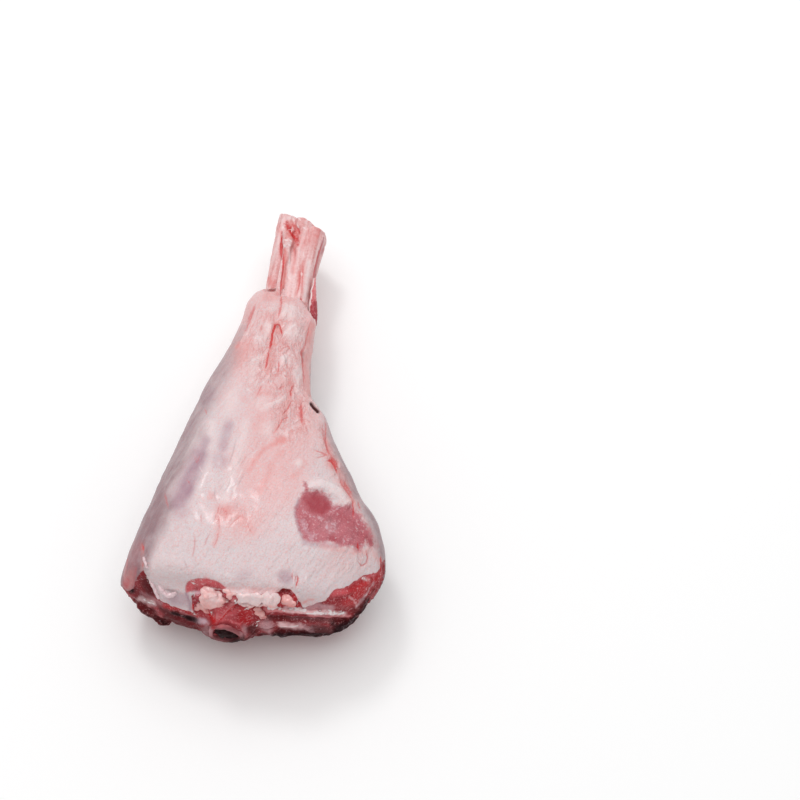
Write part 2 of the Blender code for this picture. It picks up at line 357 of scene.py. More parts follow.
def on_frame(points):
    """Where points (metres) fall in the camera's frame."""
    right, up, back = (np.array(v) for v in sight_axes())
    away = points - np.array(settings().view.place)
    depth = -(away @ back)
    half = FRAME_SIZE / 2
    return half + focal() * (away @ right) / depth, half - focal() * (away @ up) / depth


def sight_line(u, v):
    """Start and direction of the line of sight through a point of the camera's frame."""
    right, up, back = sight_axes()
    half = FRAME_SIZE / 2
    direction = -back + right * ((u - half) / focal()) - up * ((v - half) / focal())
    return Vector(settings().view.place), direction.normalized()


def landing(tree, u, v):
    """The point (mm) and normal that the line of sight meets."""
    start, direction = sight_line(u, v)
    place, normal, _, _ = tree.ray_cast(start, direction)
    if place is None:
        raise RuntimeError(f"the line of sight at {u}, {v} misses the shank")
    return np.array(place) / MM, np.array(normal)


def surface_of(*names):
    """The joined surface of finished pieces, for lines of sight to meet."""
    points, polygons = [], []
    for name in names:
        mesh = bpy.data.objects[name].data
        first = len(points)
        points.extend(v.co for v in mesh.vertices)
        polygons.extend(tuple(first + k for k in p.vertices) for p in mesh.polygons)
    return BVHTree.FromPolygons(points, polygons)


# ---- Mesh helpers ----


def alone():
    """Deselects everything."""
    for obj in bpy.context.view_layer.objects:
        obj.select_set(False)


def chosen(obj):
    """Selects one object and makes it active."""
    alone()
    obj.select_set(True)
    bpy.context.view_layer.objects.active = obj


def set_down(obj):
    """Moves an object's place, turn and size into its mesh."""
    chosen(obj)
    bpy.ops.object.transform_apply(location=True, rotation=True, scale=True)


def made(add, **values):
    """A new mesh from one of Blender's own."""
    alone()
    add(**values)
    obj = bpy.context.object
    set_down(obj)
    return obj


def applied(obj, kind, **values):
    """Adds a modifier of a kind with its values, and applies it."""
    chosen(obj)
    modifier = obj.modifiers.new(kind.lower(), kind)
    for key, value in values.items():
        setattr(modifier, key, value)
    bpy.ops.object.modifier_apply(modifier=modifier.name)


def fused(parts, voxel, rounds=4, factor=0.5):
    """Joins parts and redraws them as one evened closed surface."""
    chosen(parts[0])
    for part in parts:
        part.select_set(True)
    if len(parts) > 1:
        bpy.ops.object.join()
    whole = bpy.context.object
    applied(whole, "REMESH", mode="VOXEL", voxel_size=voxel, use_smooth_shade=True)
    applied(whole, "SMOOTH", factor=factor, iterations=rounds)
    return whole


def placed(obj, name, finish, slot, *nodes):
    """Names a finished piece, and gives it its body and finish. The slot argument is not used."""
    set_down(obj)
    obj.name = name
    obj.data.name = name
    obj.data.materials.clear()
    obj.data.materials.append(finish)
    obj.data.shade_smooth()
    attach(obj, "root")
    if nodes:
        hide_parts(*nodes)


def pick(obj, test):
    """Opens edit mode with only the faces selected whose middle and normal pass a test."""
    chosen(obj)
    bpy.ops.object.mode_set(mode="EDIT")
    bpy.ops.mesh.select_mode(type="FACE")
    bpy.ops.mesh.select_all(action="DESELECT")
    bpy.ops.object.mode_set(mode="OBJECT")
    for polygon in obj.data.polygons:
        polygon.select = bool(test(polygon.center, polygon.normal))
    bpy.ops.object.mode_set(mode="EDIT")


def copy_of(node, grow=0.0, low_y=None, high_y=None):
    """A merged copy of a CAD node, grown by some millimetres and held between two y in metres."""
    source = frame["nodes"][node]
    obj = bpy.data.objects.new(node + "_copy", source.data.copy())
    bpy.context.scene.collection.objects.link(obj)
    obj.data.materials.clear()
    chosen(obj)
    bpy.ops.object.mode_set(mode="EDIT")
    bpy.ops.mesh.select_all(action="SELECT")
    bpy.ops.mesh.remove_doubles(threshold=0.00001)
    bpy.ops.mesh.normals_make_consistent(inside=False)
    bpy.ops.object.mode_set(mode="OBJECT")
    points, normals = read_points(obj)
    points = points + normals * grow * MM
    if low_y is not None:
        points[:, 1] = np.maximum(points[:, 1], low_y)
    if high_y is not None:
        points[:, 1] = np.minimum(points[:, 1], high_y)
    write_points(obj, points)
    return obj


def read_points(obj):
    """Points and normals of a mesh, in metres."""
    count = len(obj.data.vertices)
    points, normals = np.zeros(count * 3), np.zeros(count * 3)
    obj.data.vertices.foreach_get("co", points)
    obj.data.vertex_normals.foreach_get("vector", normals)
    return points.reshape(-1, 3), normals.reshape(-1, 3)


def write_points(obj, points):
    """Sets a mesh's points, in metres."""
    obj.data.vertices.foreach_set("co", points.ravel())
    obj.data.update()


def lay(obj, name, values):
    """Stores a number for each point of the mesh."""
    attribute = obj.data.attributes.new(name, "FLOAT", "POINT")
    attribute.data.foreach_set("value", np.asarray(values, np.float32))


def lay_colours(obj, name, values):
    """Stores a colour for each point of the mesh."""
    attribute = obj.data.attributes.new(name, "FLOAT_COLOR", "POINT")
    full = np.concatenate([values, np.ones((len(values), 1))], axis=1)
    attribute.data.foreach_set("color", full.astype(np.float32).ravel())


def soft_step(value, low, high):
    """0 at low and 1 at high, with a soft step between. low may be the larger."""
    t = np.clip((value - low) / (high - low), 0, 1)
    return t * t * (3 - 2 * t)


def lattice(cells, seed):
    """A repeatable number from 0 to 1 for each whole-numbered cell."""
    mixed = cells[:, 0] * 374761393 + cells[:, 1] * 668265263 + cells[:, 2] * 2147483647 + seed * 974634777
    mixed = (mixed ^ (mixed >> 13)) * 1274126177
    mixed = mixed ^ (mixed >> 16)
    return (mixed & 0xFFFFFF) / float(0xFFFFFF)


def ripple(points, size, seed=1):
    """Smooth noise from -1 to 1 over points in millimetres, with features of about size."""
    scaled = points / size
    base = np.floor(scaled).astype(np.int64)
    part = scaled - base
    part = part * part * (3 - 2 * part)
    total = 0
    for corner in range(8):
        step = np.array([corner & 1, (corner >> 1) & 1, (corner >> 2) & 1])
        weight = np.prod(np.where(step, part, 1 - part), axis=1)
        total = total + weight * lattice(base + step, seed)
    return total * 2 - 1


class Canvas:
    """The points of a mesh, with where each falls in the camera's frame and how squarely it is seen."""

    def __init__(self, obj):
        self.obj = obj
        metres, self.normals = read_points(obj)
        self.points = metres / MM
        self.u, self.v = on_frame(metres)
        self.facing = self.normals @ np.array(sight_axes()[2])
        self.seen = soft_step(self.facing, -0.12, 0.15)

    def push(self, relief):
        """Moves each point along its normal, by millimetres."""
        write_points(self.obj, (self.points + self.normals * relief[:, None]) * MM)

    def hide_far(self, tree):
        """Counts as unseen what lies some millimetres behind the nearest surface."""
        start = Vector(settings().view.place)
        for k in np.nonzero(self.seen > 0)[0]:
            way = Vector(self.points[k] * MM) - start
            place, _, _, _ = tree.ray_cast(start, way.normalized())
            gap = (way.length - (place - start).length) / MM if place else 0.0
            self.seen[k] *= 1 - float(soft_step(gap, 2.0, 7.0))

    def blot(self, u, v, across, along, turn=0.0, weight=1.0):
        """Weight at the middle of a soft oval, falling to 0 at its edge. turn leans its top to the right."""
        c, s = math.cos(math.radians(turn)), math.sin(math.radians(turn))
        du, dv = self.u - u, self.v - v
        ratio = np.hypot((du * c + dv * s) / across, (dv * c - du * s) / along)
        return weight * (1 - soft_step(ratio, 0.25, 1.0))

    def away(self, *corners):
        """Signed distance in frame units to a line of straight stretches, and how far along it is nearest."""
        best = np.full(len(self.u), 1e9)
        sign, along = np.ones(len(self.u)), np.zeros(len(self.u))
        for k, ((au, av), (bu, bv)) in enumerate(zip(corners, corners[1:])):
            du, dv = bu - au, bv - av
            t = np.clip(((self.u - au) * du + (self.v - av) * dv) / (du * du + dv * dv), 0, 1)
            eu, ev = self.u - au - t * du, self.v - av - t * dv
            gap = np.hypot(eu, ev)
            closer = gap < best
            best = np.where(closer, gap, best)
            sign = np.where(closer, np.where(du * ev - dv * eu > 0, -1.0, 1.0), sign)
            along = np.where(closer, (k + t) / (len(corners) - 1), along)
        return best * sign, along

    def brush(self, width, weight, *corners):
        """Weight on a soft stroke, falling to 0 at half its width away."""
        away, _ = self.away(*corners)
        return weight * (1 - soft_step(np.abs(away) / (width / 2), 0.1, 1.0))

    def area(self, *corners):
        """Distance in millimetres inside an outline; below 0 outside it."""
        away, _ = self.away(*corners, corners[0])
        inside = np.zeros(len(self.u), bool)
        for (au, av), (bu, bv) in zip(corners, corners[1:] + corners[:1]):
            if av != bv:
                crosses = (self.v < av) != (self.v < bv)
                inside ^= crosses & (self.u < au + (self.v - av) * (bu - au) / (bv - av))
        return np.where(inside, np.abs(away), -np.abs(away)) / UNITS_PER_MM

    def stroke(self, note):
        """The weight of a noted stroke, or of a noted oval where the third item isn't a point."""
        return (self.brush if isinstance(note[2], tuple) else self.blot)(*note)

    def painted(self, notes):
        """The strongest of many soft ovals and strokes, only where they are seen."""
        total = np.zeros(len(self.u))
        for note in notes:
            total = np.maximum(total, self.stroke(note))
        return total * self.seen

    def raised(self, notes):
        """The sum of many soft ovals and strokes, only where they are seen."""
        return self.seen * sum(self.stroke(note) for note in notes)

    def wandered(self, reach, size):
        """A copy whose places in the frame wander a little, for uneven outlines."""
        other = copy.copy(self)
        other.u = self.u + reach * ripple(self.points, size, 31)
        other.v = self.v + reach * ripple(self.points, size, 32)
        return other

    def coloured(self, start, strokes):
        """Colours laid over a start colour, stroke after stroke, only where they are seen."""
        wandering = self.wandered(1.0, 1.6)
        tones = settings().flesh
        colours = np.tile(np.array(getattr(tones, start)), (len(self.u), 1))
        for tone, *note in strokes:
            weight = wandering.stroke(note) * self.seen
            colours += weight[:, None] * (np.array(getattr(tones, tone)) - colours)
        return colours

    def lay_lines(self, name, notes):
        """Lays signed distances (mm) to the nearest of many lines, their half widths and their strengths."""
        best = np.full(len(self.u), 60.0)
        half, strength = np.zeros(len(self.u)), np.zeros(len(self.u))
        for width, power, *corners in notes:
            away, along = self.away(*corners)
            away = away / UNITS_PER_MM
            taper = np.clip(np.minimum(along, 1 - along) * 5, 0.1, 1)
            closer = np.abs(away) - width / 5 < np.abs(best) - half
            best = np.where(closer, away, best)
            half = np.where(closer, width * taper / 2 / UNITS_PER_MM, half)
            strength = np.where(closer, power * (0.5 + 0.5 * taper), strength)
        near = (1 - soft_step(np.abs(best) - half, 0.55, 1.05)) * (self.seen > 0.25) * strength
        lay(self.obj, name, best)
        lay(self.obj, name + "_half", half)
        lay(self.obj, name + "_near", near)
        return np.abs(best) - half, near


# ---- Shape notes, in the camera's frame ----

# An outline or edge is a row of points. A stroke is its width, its weight and its points. An oval is its middle, its
# half width, its half height, its turn in degrees and its weight. A line is its width, its strength and its points.

# The cut face below the silverskin's edge.
CUT_OUTLINE = (
    (108, 588), (121, 586), (127, 592), (133, 590), (135, 584), (136, 578), (140, 573), (143, 570), (146, 575),
    (150, 583), (153, 590), (156, 597), (162, 602), (171, 606), (182, 610), (193, 613), (192, 604), (190, 597),
    (195, 592), (201, 589), (226, 590), (240, 594), (262, 594), (279, 592), (283, 588.5), (290, 590), (296, 594),
    (299, 601), (303, 607), (310, 606), (318, 603), (326, 600.5), (329, 595), (334, 590), (340, 588), (346, 587),
    (352, 584), (358, 580), (364, 575), (370, 574.5), (376, 573), (381, 568), (384, 560), (400, 556), (410, 700),
    (100, 700),
)
# Bare flesh above the cut face: the crescent, and the patch with its redder core.
RED_CRESCENT = (
    (186, 593), (185.5, 586), (189, 581.5), (196, 579), (206, 578.5), (214, 580.5), (221, 584), (227, 588),
    (222, 590.5), (212, 587.5), (203, 586.5), (202, 592), (197, 591), (191, 592),
)
MUSCLE_PATCH = (
    (306, 483), (308.5, 490.5), (313, 490.5), (320, 491), (326, 493.5), (331, 500), (333, 505), (338, 505.5),
    (344, 506), (350, 505.5), (354, 509), (358, 514), (364, 521), (369, 529), (373, 538), (376, 547), (371, 547),
    (366, 541), (363, 544), (360, 551), (357, 550), (353, 545), (346, 546), (341, 545.5), (336, 542.5), (330, 541),
    (322, 542.5), (315, 541.5), (308, 541), (304, 538), (302, 532), (299, 524), (296.5, 516), (296, 510), (298, 503),
    (301, 497), (304, 491.5), (304.5, 487),
)
PATCH_CORE = (
    (304, 498), (308, 494), (314, 491.5), (321, 492.5), (327, 496), (331, 502), (331, 508), (328, 513), (323, 517),
    (315, 515), (309, 510), (304, 504),
)
# Where the shank's sides begin to darken, partly from the muscle under the skin and partly by painted shade.
LEFT_BAND = (
    (236, 352), (228, 370), (222, 384), (213, 400), (206, 417), (199, 428), (193, 440), (187, 455), (179, 468),
    (168, 483), (165, 492), (166, 500), (168, 508), (163, 520), (156, 535), (149, 550), (145, 562), (143, 572),
)
RIGHT_BAND = (
    (327, 410), (328, 424), (329, 440), (333, 452), (338, 462), (342, 472), (347, 482), (352, 491), (358, 500),
    (362, 509), (367, 518), (372, 527), (377, 537), (381, 548), (384, 560), (386, 572),
)

# Where the sheath ends on the hock.
SHEATH_EDGE = (
    (240, 300), (249, 299), (261, 288), (268, 291), (277, 296), (286, 296), (299, 298), (307.5, 308), (316, 321),
    (324, 331),
)

LONGEST_PULL = 2.8 * MM  # how far the sheath's rim may be drawn along the line of sight

# The thin muscle beside the hock: place in the frame and half width, in frame units. It rests on the hock at u 306.
SLIVER_REST = 306
MUSCLE_SLIVER = (
    (315.2, 277, 1.6), (314.8, 281, 2.2), (314.2, 285, 2.8), (313.8, 289, 3.2), (313.4, 293, 3.6), (313.2, 297, 4),
    (313.2, 301, 4.4), (313.2, 305, 4.6), (313.4, 309, 4.8), (313.6, 313, 4.6), (314.2, 317, 3.8), (315, 321, 2.8),
)

# Soft marks that the skin's finish reads, by name.
SOFT_TINTS = {
    "mauve": (
        (30, 0.85, (200, 455), (192, 472), (184, 490), (177, 502)), (17, 0.7, (206, 441), (200, 454), (194, 468)),
        (186, 488, 13, 20, 24, 0.9), (17, 0.55, (229, 425), (225, 437), (223, 447)), (220, 460, 13, 14, 14, 0.35),
        (180, 510, 14, 14, 14, 0.35), (286, 577, 13, 11, 10, 0.6),
        (7, 0.7, (299, 500), (296, 514), (301, 532), (306, 543)), (9, 0.45, (304, 543), (318, 545), (336, 546)),
        (178, 600, 21, 11, 10, 0.6), (6, 0.9, (186, 594), (189, 602), (190, 610)), (244, 575, 14, 9, -30, 0.25),
        (207, 396, 11, 16, 25, 0.5), (188, 428, 8, 20, 26, 0.4),
    ),
    "rosy": (
        (268, 345, 75, 95, 0, 0.95), (288, 415, 70, 85, 0, 0.95), (272, 465, 62, 75, 10, 1), (242, 518, 52, 44, 0, 0.8),
        (240, 385, 50, 50, 25, 0.5), (36, 0.8, (318, 430), (334, 462), (352, 496)), (250, 592, 50, 12, 0, 0.35),
        (345, 560, 34, 34, 0, 0.35), (150, 520, 20, 40, 20, 0.2),
    ),
    "crinkle": (
        (275, 350, 52, 75, 10, 1), (292, 405, 32, 62, 0, 0.9),
        (20, 0.9, (322, 430), (332, 458), (344, 482), (356, 510)), (240, 515, 34, 20, 0, 0.5),
        (363, 558, 14, 18, 0, 0.6),
    ),
    "ruddy": (
        (126, 583, 6, 12, 12, 1), (4, 0.8, (127, 560), (125, 570), (124, 582)),
        (5, 0.6, (136, 568), (134, 580), (132, 590)), (26, 0.22, (136, 546), (131, 566), (126, 588)),
    ),
    "blush": (
        (281, 440, 10, 6, -10, 0.75), (9, 0.65, (284, 440), (274, 444), (264, 449), (256, 459), (249, 470)),
        (11, 0.4, (282, 452), (276, 457), (273, 466), (267, 478), (259, 492)), (271, 466, 7, 8, 20, 0.6),
        (226, 512, 15, 13, 10, 0.55), (240, 518, 17, 10, 30, 0.45), (9, 0.45, (219, 520), (219, 532), (214, 545)),
        (250, 528, 11, 8, 30, 0.4), (211, 497, 7, 7, 0, 0.35),
        (9, 0.75, (274, 345), (272, 335), (277, 324), (281, 332)), (270, 360, 7, 22, 8, 0.5), (262, 330, 5, 7, 0, 0.5),
        (238, 346, 5, 7, 20, 0.9), (243, 352, 12, 18, 25, 0.35), (272, 297, 14, 9, 0, 0.45), (286, 300, 9, 6, 0, 0.35),
        (270, 291, 9, 6, 0, 0.4), (12, 0.85, (313, 325), (309, 345), (307, 366), (309, 394)),
        (8, 0.5, (292, 384), (289, 398), (283, 416), (274, 432)), (7, 0.5, (302, 398), (301, 412), (302, 424)),
        (286, 382, 14, 10, 0, 0.35), (262, 392, 12, 7, 0, 0.3), (244, 398, 8, 7, 0, 0.3), (258, 425, 10, 16, 30, 0.3),
        (333, 464, 9, 8, 30, 0.95), (8, 0.65, (326, 440), (330, 455), (338, 470), (346, 486), (353, 502)),
        (8, 0.35, (305, 462), (300, 472), (292, 477)),
        (8, 0.3, (205, 578), (226, 588), (250, 590), (276, 590), (292, 592), (300, 600), (308, 603)),
        (254, 590, 9, 4, 0, 0.4), (5, 0.8, (303, 603), (308, 600), (313, 600)), (129, 580, 8, 17, 10, 0.7),
        (6, 0.5, (142, 545), (143, 560), (142, 570)), (8, 0.5, (370, 545), (376, 556), (382, 566)),
        (12, 0.45, (322, 546), (338, 549), (354, 552), (368, 552)),
        (8, 0.4, (352, 505), (362, 517), (371, 532), (377, 546)),
        (5, 0.5, (307, 322), (306, 340), (302, 356), (304, 390)), (243, 312, 10, 18, 30, 0.35),
        (312, 330, 8, 14, 0, 0.55),
    ),
    "white": (
        (5, 0.8, (199, 429), (195, 440), (187, 455), (178, 469), (166, 485)),
        (14, 0.5, (212, 424), (209, 444), (206, 466), (198, 488)),
        (16, 0.5, (246, 424), (242, 446), (232, 474), (224, 500)),
        (15, 0.75, (312, 485), (321, 483.5), (331, 487), (340, 495), (346, 503)), (268, 428, 16, 11, 0, 0.45),
        (299, 463, 7, 6, 0, 0.7), (262, 402, 14, 8, -20, 0.4), (290, 312, 15, 12, 30, 0.65),
        (274, 305, 7, 12, 10, 0.45), (292, 332, 12, 15, 0, 0.65), (262, 333, 10, 18, 10, 0.6),
        (253, 368, 8, 24, 12, 0.5), (284, 358, 6, 5, -30, 0.7), (284, 378, 4, 10, 0, 0.5), (298, 374, 8, 14, 0, 0.45),
        (9, 0.55, (262, 409), (274, 404), (285, 397)), (232, 400, 11, 22, 25, 0.5), (165, 560, 24, 30, 10, 0.3),
        (340, 575, 24, 12, -25, 0.3), (4.5, 0.95, (144, 556), (145, 566), (147, 574)),
        (4.5, 0.9, (150, 582), (154, 589), (158, 597)), (5.5, 1, (160, 587), (164, 593), (170, 595), (175, 594)),
        (234, 596, 8, 6, 40, 0.6),
    ),
    # The pit mark is the muscle's dark red with painted shade, in the notch and slits.
    "pit": (
        (5.5, 1.4, (311.5, 403.5), (314, 407.5), (318, 411.5)), (4, 0.35, (303, 353), (303, 361)),
        (277.5, 326, 3, 3, 0, 0.4), (4, 0.5, (188, 590), (197, 591), (202, 590)),
    ),
    "film": (
        (8, 0.8, (302, 507), (308, 513), (314, 516), (322, 519)), (306, 525, 10, 17, -15, 0.45),
        (314, 536, 10, 8, 0, 0.6), (331, 526, 12, 13, -30, 0.85), (334, 511, 9, 8, 0, 0.6), (345, 540, 12, 9, 0, 0.4),
        (357, 527, 8, 13, -30, 0.45), (7, 0.6, (304, 541), (318, 543), (334, 543)),
    ),
    "shade": (
        (147, 589, 9, 17, -22, 0.9), (130, 592, 5, 5, 0, 0.8),
        (15, 0.7, (134, 592), (150, 607), (176, 620), (206, 634)), (190, 620, 11, 5, 15, 1), (160, 620, 10, 5, 35, 0.9),
        (16, 1, (262, 640), (300, 636), (332, 634), (356, 623), (368, 604)),
        (10, 0.8, (280, 631), (300, 633), (328, 634)), (318, 630, 15, 7, 0, 0.7), (252, 632, 10, 8, 0, 0.7),
        (8, 0.45, (270, 618), (300, 619), (345, 620)),
    ),
}

# Hairlines and slits in the skin, then pale threads with painted glints, and creases darkened with painted shade.
RED_LINES = (
    (1.9, 0.95, (269, 352), (271, 343), (272.5, 334), (275, 326), (277.5, 323.5)),
    (1.2, 0.8, (276, 324), (279.5, 325), (281, 329), (282, 336)),
    (1.4, 0.7, (269, 350), (267.5, 357), (266.5, 364), (264.5, 370)), (1.2, 0.5, (278.5, 361), (279, 366), (278, 373)),
    (1, 0.5, (284, 375), (286, 377)), (1, 0.4, (278, 389), (281, 387), (284, 386)),
    (1.5, 0.55, (281, 295), (281.5, 303), (280, 310), (278, 317)), (1.8, 0.6, (302.5, 348), (301.5, 353), (302.5, 357)),
    (1, 0.4, (256, 304), (251, 313), (247, 323)), (0.8, 0.3, (287, 345), (291, 350)),
    (0.8, 0.3, (262, 385), (257, 395)), (0.8, 0.3, (296, 405), (299, 418)), (0.8, 0.3, (304, 420), (308, 433)),
    (0.9, 0.35, (322, 428), (325, 440)), (1.4, 0.3, (262, 326), (260.5, 332)),
    (1.3, 0.5, (311, 320), (308.5, 331), (306, 343), (302, 353), (303, 361), (304, 378), (304.5, 393)),
    (2.2, 0.6, (301, 403), (301, 412), (302.5, 424)), (1.4, 0.6, (294, 384), (291, 391), (291, 397)),
    (1, 0.5, (292, 401), (288, 408), (283, 414)), (1, 0.45, (289, 417), (283, 419), (279, 426), (274, 433)),
    (0.9, 0.3, (283, 387), (278, 390)), (0.8, 0.35, (220, 503), (217.5, 512), (219.5, 520), (219, 532)),
    (0.8, 0.25, (223, 506), (224, 514)), (0.8, 0.3, (226, 508), (226.5, 515), (225, 522)),
    (0.9, 0.35, (216, 515), (215, 522)), (0.8, 0.35, (209.5, 533), (206.5, 540), (204, 546)),
    (0.7, 0.3, (219, 532), (217, 540), (214, 546)), (0.8, 0.35, (195, 537), (194, 547), (192.5, 557)),
    (0.7, 0.25, (201.5, 513), (201, 523)), (0.8, 0.25, (228, 528), (234, 521), (240, 516), (246, 518)),
    (0.7, 0.25, (246, 521), (249, 527), (252, 533)),
    (1, 0.6, (325, 418), (326, 431), (325, 441), (327, 449), (331, 457)),
    (0.8, 0.35, (322, 424), (323, 436), (325, 447)), (1, 0.45, (314, 450), (321, 452), (328, 455)),
    (0.8, 0.4, (316, 458), (322, 456.5), (328, 455)), (2, 0.9, (327, 461), (331, 460), (335, 465), (337, 473)),
    (1.4, 0.7, (331, 456), (335, 461), (338, 466)), (1.2, 0.6, (339, 477), (342, 484), (347, 491), (352, 499)),
    (1.2, 0.5, (343, 480), (348, 488), (353, 495)), (1, 0.6, (352, 499), (353.5, 508), (354, 517)),
    (1.2, 0.5, (358, 502), (360, 509)), (1.2, 0.5, (366, 549), (368, 557), (367, 563), (362, 566), (358, 561)),
    (1.6, 0.8, (358, 543), (359, 549)), (1.3, 0.7, (297.5, 575), (298, 581), (296, 588)),
    (0.9, 0.4, (292, 572), (293, 580)), (1.6, 0.9, (381, 556), (382.5, 563), (382, 570)),
    (1, 0.3, (165, 493), (166, 501), (168, 508)), (0.9, 0.4, (205, 409), (206.5, 414)),
    (0.8, 0.3, (194, 457), (197, 463)), (0.7, 0.3, (199, 455), (198, 461)), (1.1, 0.5, (188, 481), (189, 482.5)),
    (1.1, 0.6, (142.5, 545), (143, 551)), (1, 0.5, (143, 561), (142.5, 567)), (1.4, 0.8, (192.5, 604), (192.5, 611)),
    (1.2, 0.5, (262, 597), (262.5, 602)), (1.4, 0.45, (256, 304), (252, 312), (249, 322), (245, 332)),
)

PALE_THREADS_AND_GLINTS = (
    (1.5, 0.6, (238, 484), (234, 489), (234.5, 494), (231.5, 500)), (1.1, 0.35, (243, 469), (240, 475), (237, 480)),
    (1.2, 0.35, (262, 406), (270, 404), (276, 402), (283, 398)), (1.2, 0.6, (350, 505), (358, 514), (366, 522)),
    (1, 0.4, (352, 523), (354, 528), (358, 532)), (1, 0.35, (228, 572), (225, 577)), (1, 0.4, (249, 519), (246, 525)),
    (1, 0.4, (250, 527), (247, 533)), (1, 0.3, (267, 517), (262, 521)), (1.5, 0.8, (236, 596), (235.5, 603)),
    (1.2, 0.8, (210, 611), (211, 616)), (1.2, 0.6, (193, 613), (195, 616)),
    (1.2, 0.5, (292, 571), (294, 578), (294, 586)), (1, 0.35, (283, 361), (281, 365)),
    (1, 0.35, (284, 373), (284, 379)), (1, 0.4, (275, 331), (273, 338)), (0.9, 0.35, (199, 466), (203, 473)),
    (1, 0.35, (339, 462), (339, 468)), (1.2, 0.4, (306, 575), (306, 584)), (0.9, 0.3, (318, 560), (317, 572)),
    (0.9, 0.3, (348, 560), (347, 570)), (0.9, 0.35, (356, 556), (354, 568)), (1.1, 0.4, (370, 568), (368, 574)),
    (1.8, 0.9, (257.5, 627), (258, 622), (261, 620)), (1.2, 0.5, (287, 332), (291, 328), (296, 324)),
    (1.2, 0.45, (283, 337), (288, 331)), (1, 0.4, (258, 342), (262, 338)), (1.1, 0.4, (246, 388), (252, 392)),
    (1, 0.4, (284, 303), (290, 307)), (1, 0.35, (299, 312), (304, 318)), (0.9, 0.35, (297, 352), (303, 349)),
    (0.9, 0.35, (262, 366), (266, 376)), (1, 0.6, (320, 496), (324, 497)), (1, 0.6, (322, 494), (325, 495)),
)

CREASE_SHADE_LINES = (
    (0.8, 0.6, (244, 474), (240, 481), (237, 486)), (0.8, 0.4, (230, 480), (228, 488)),
    (0.8, 0.5, (236, 440), (233, 452), (229, 464)), (0.7, 0.4, (215, 487), (214.5, 496), (217, 503)),
    (1, 0.6, (334, 442), (340, 454), (347, 468), (350, 478)), (0.9, 0.4, (205, 400), (201, 411)),
    (0.8, 0.4, (184, 437), (180, 448)), (1.4, 1, (166, 590), (170, 591), (175, 591)),
    (0.9, 0.8, (158, 586), (160, 587)), (1.2, 0.8, (180, 612), (188, 618), (194, 622)),
    (0.8, 0.4, (184, 560), (187, 568)),
)

# Slits in the cut face round the bone.
RED_FACE_LINES = (
    (1.2, 0.9, (204, 612), (210, 618), (215, 625)), (1, 0.8, (213, 612), (214, 619), (215, 625)),
    (1, 0.8, (236, 605), (226, 614), (217, 625)),
)
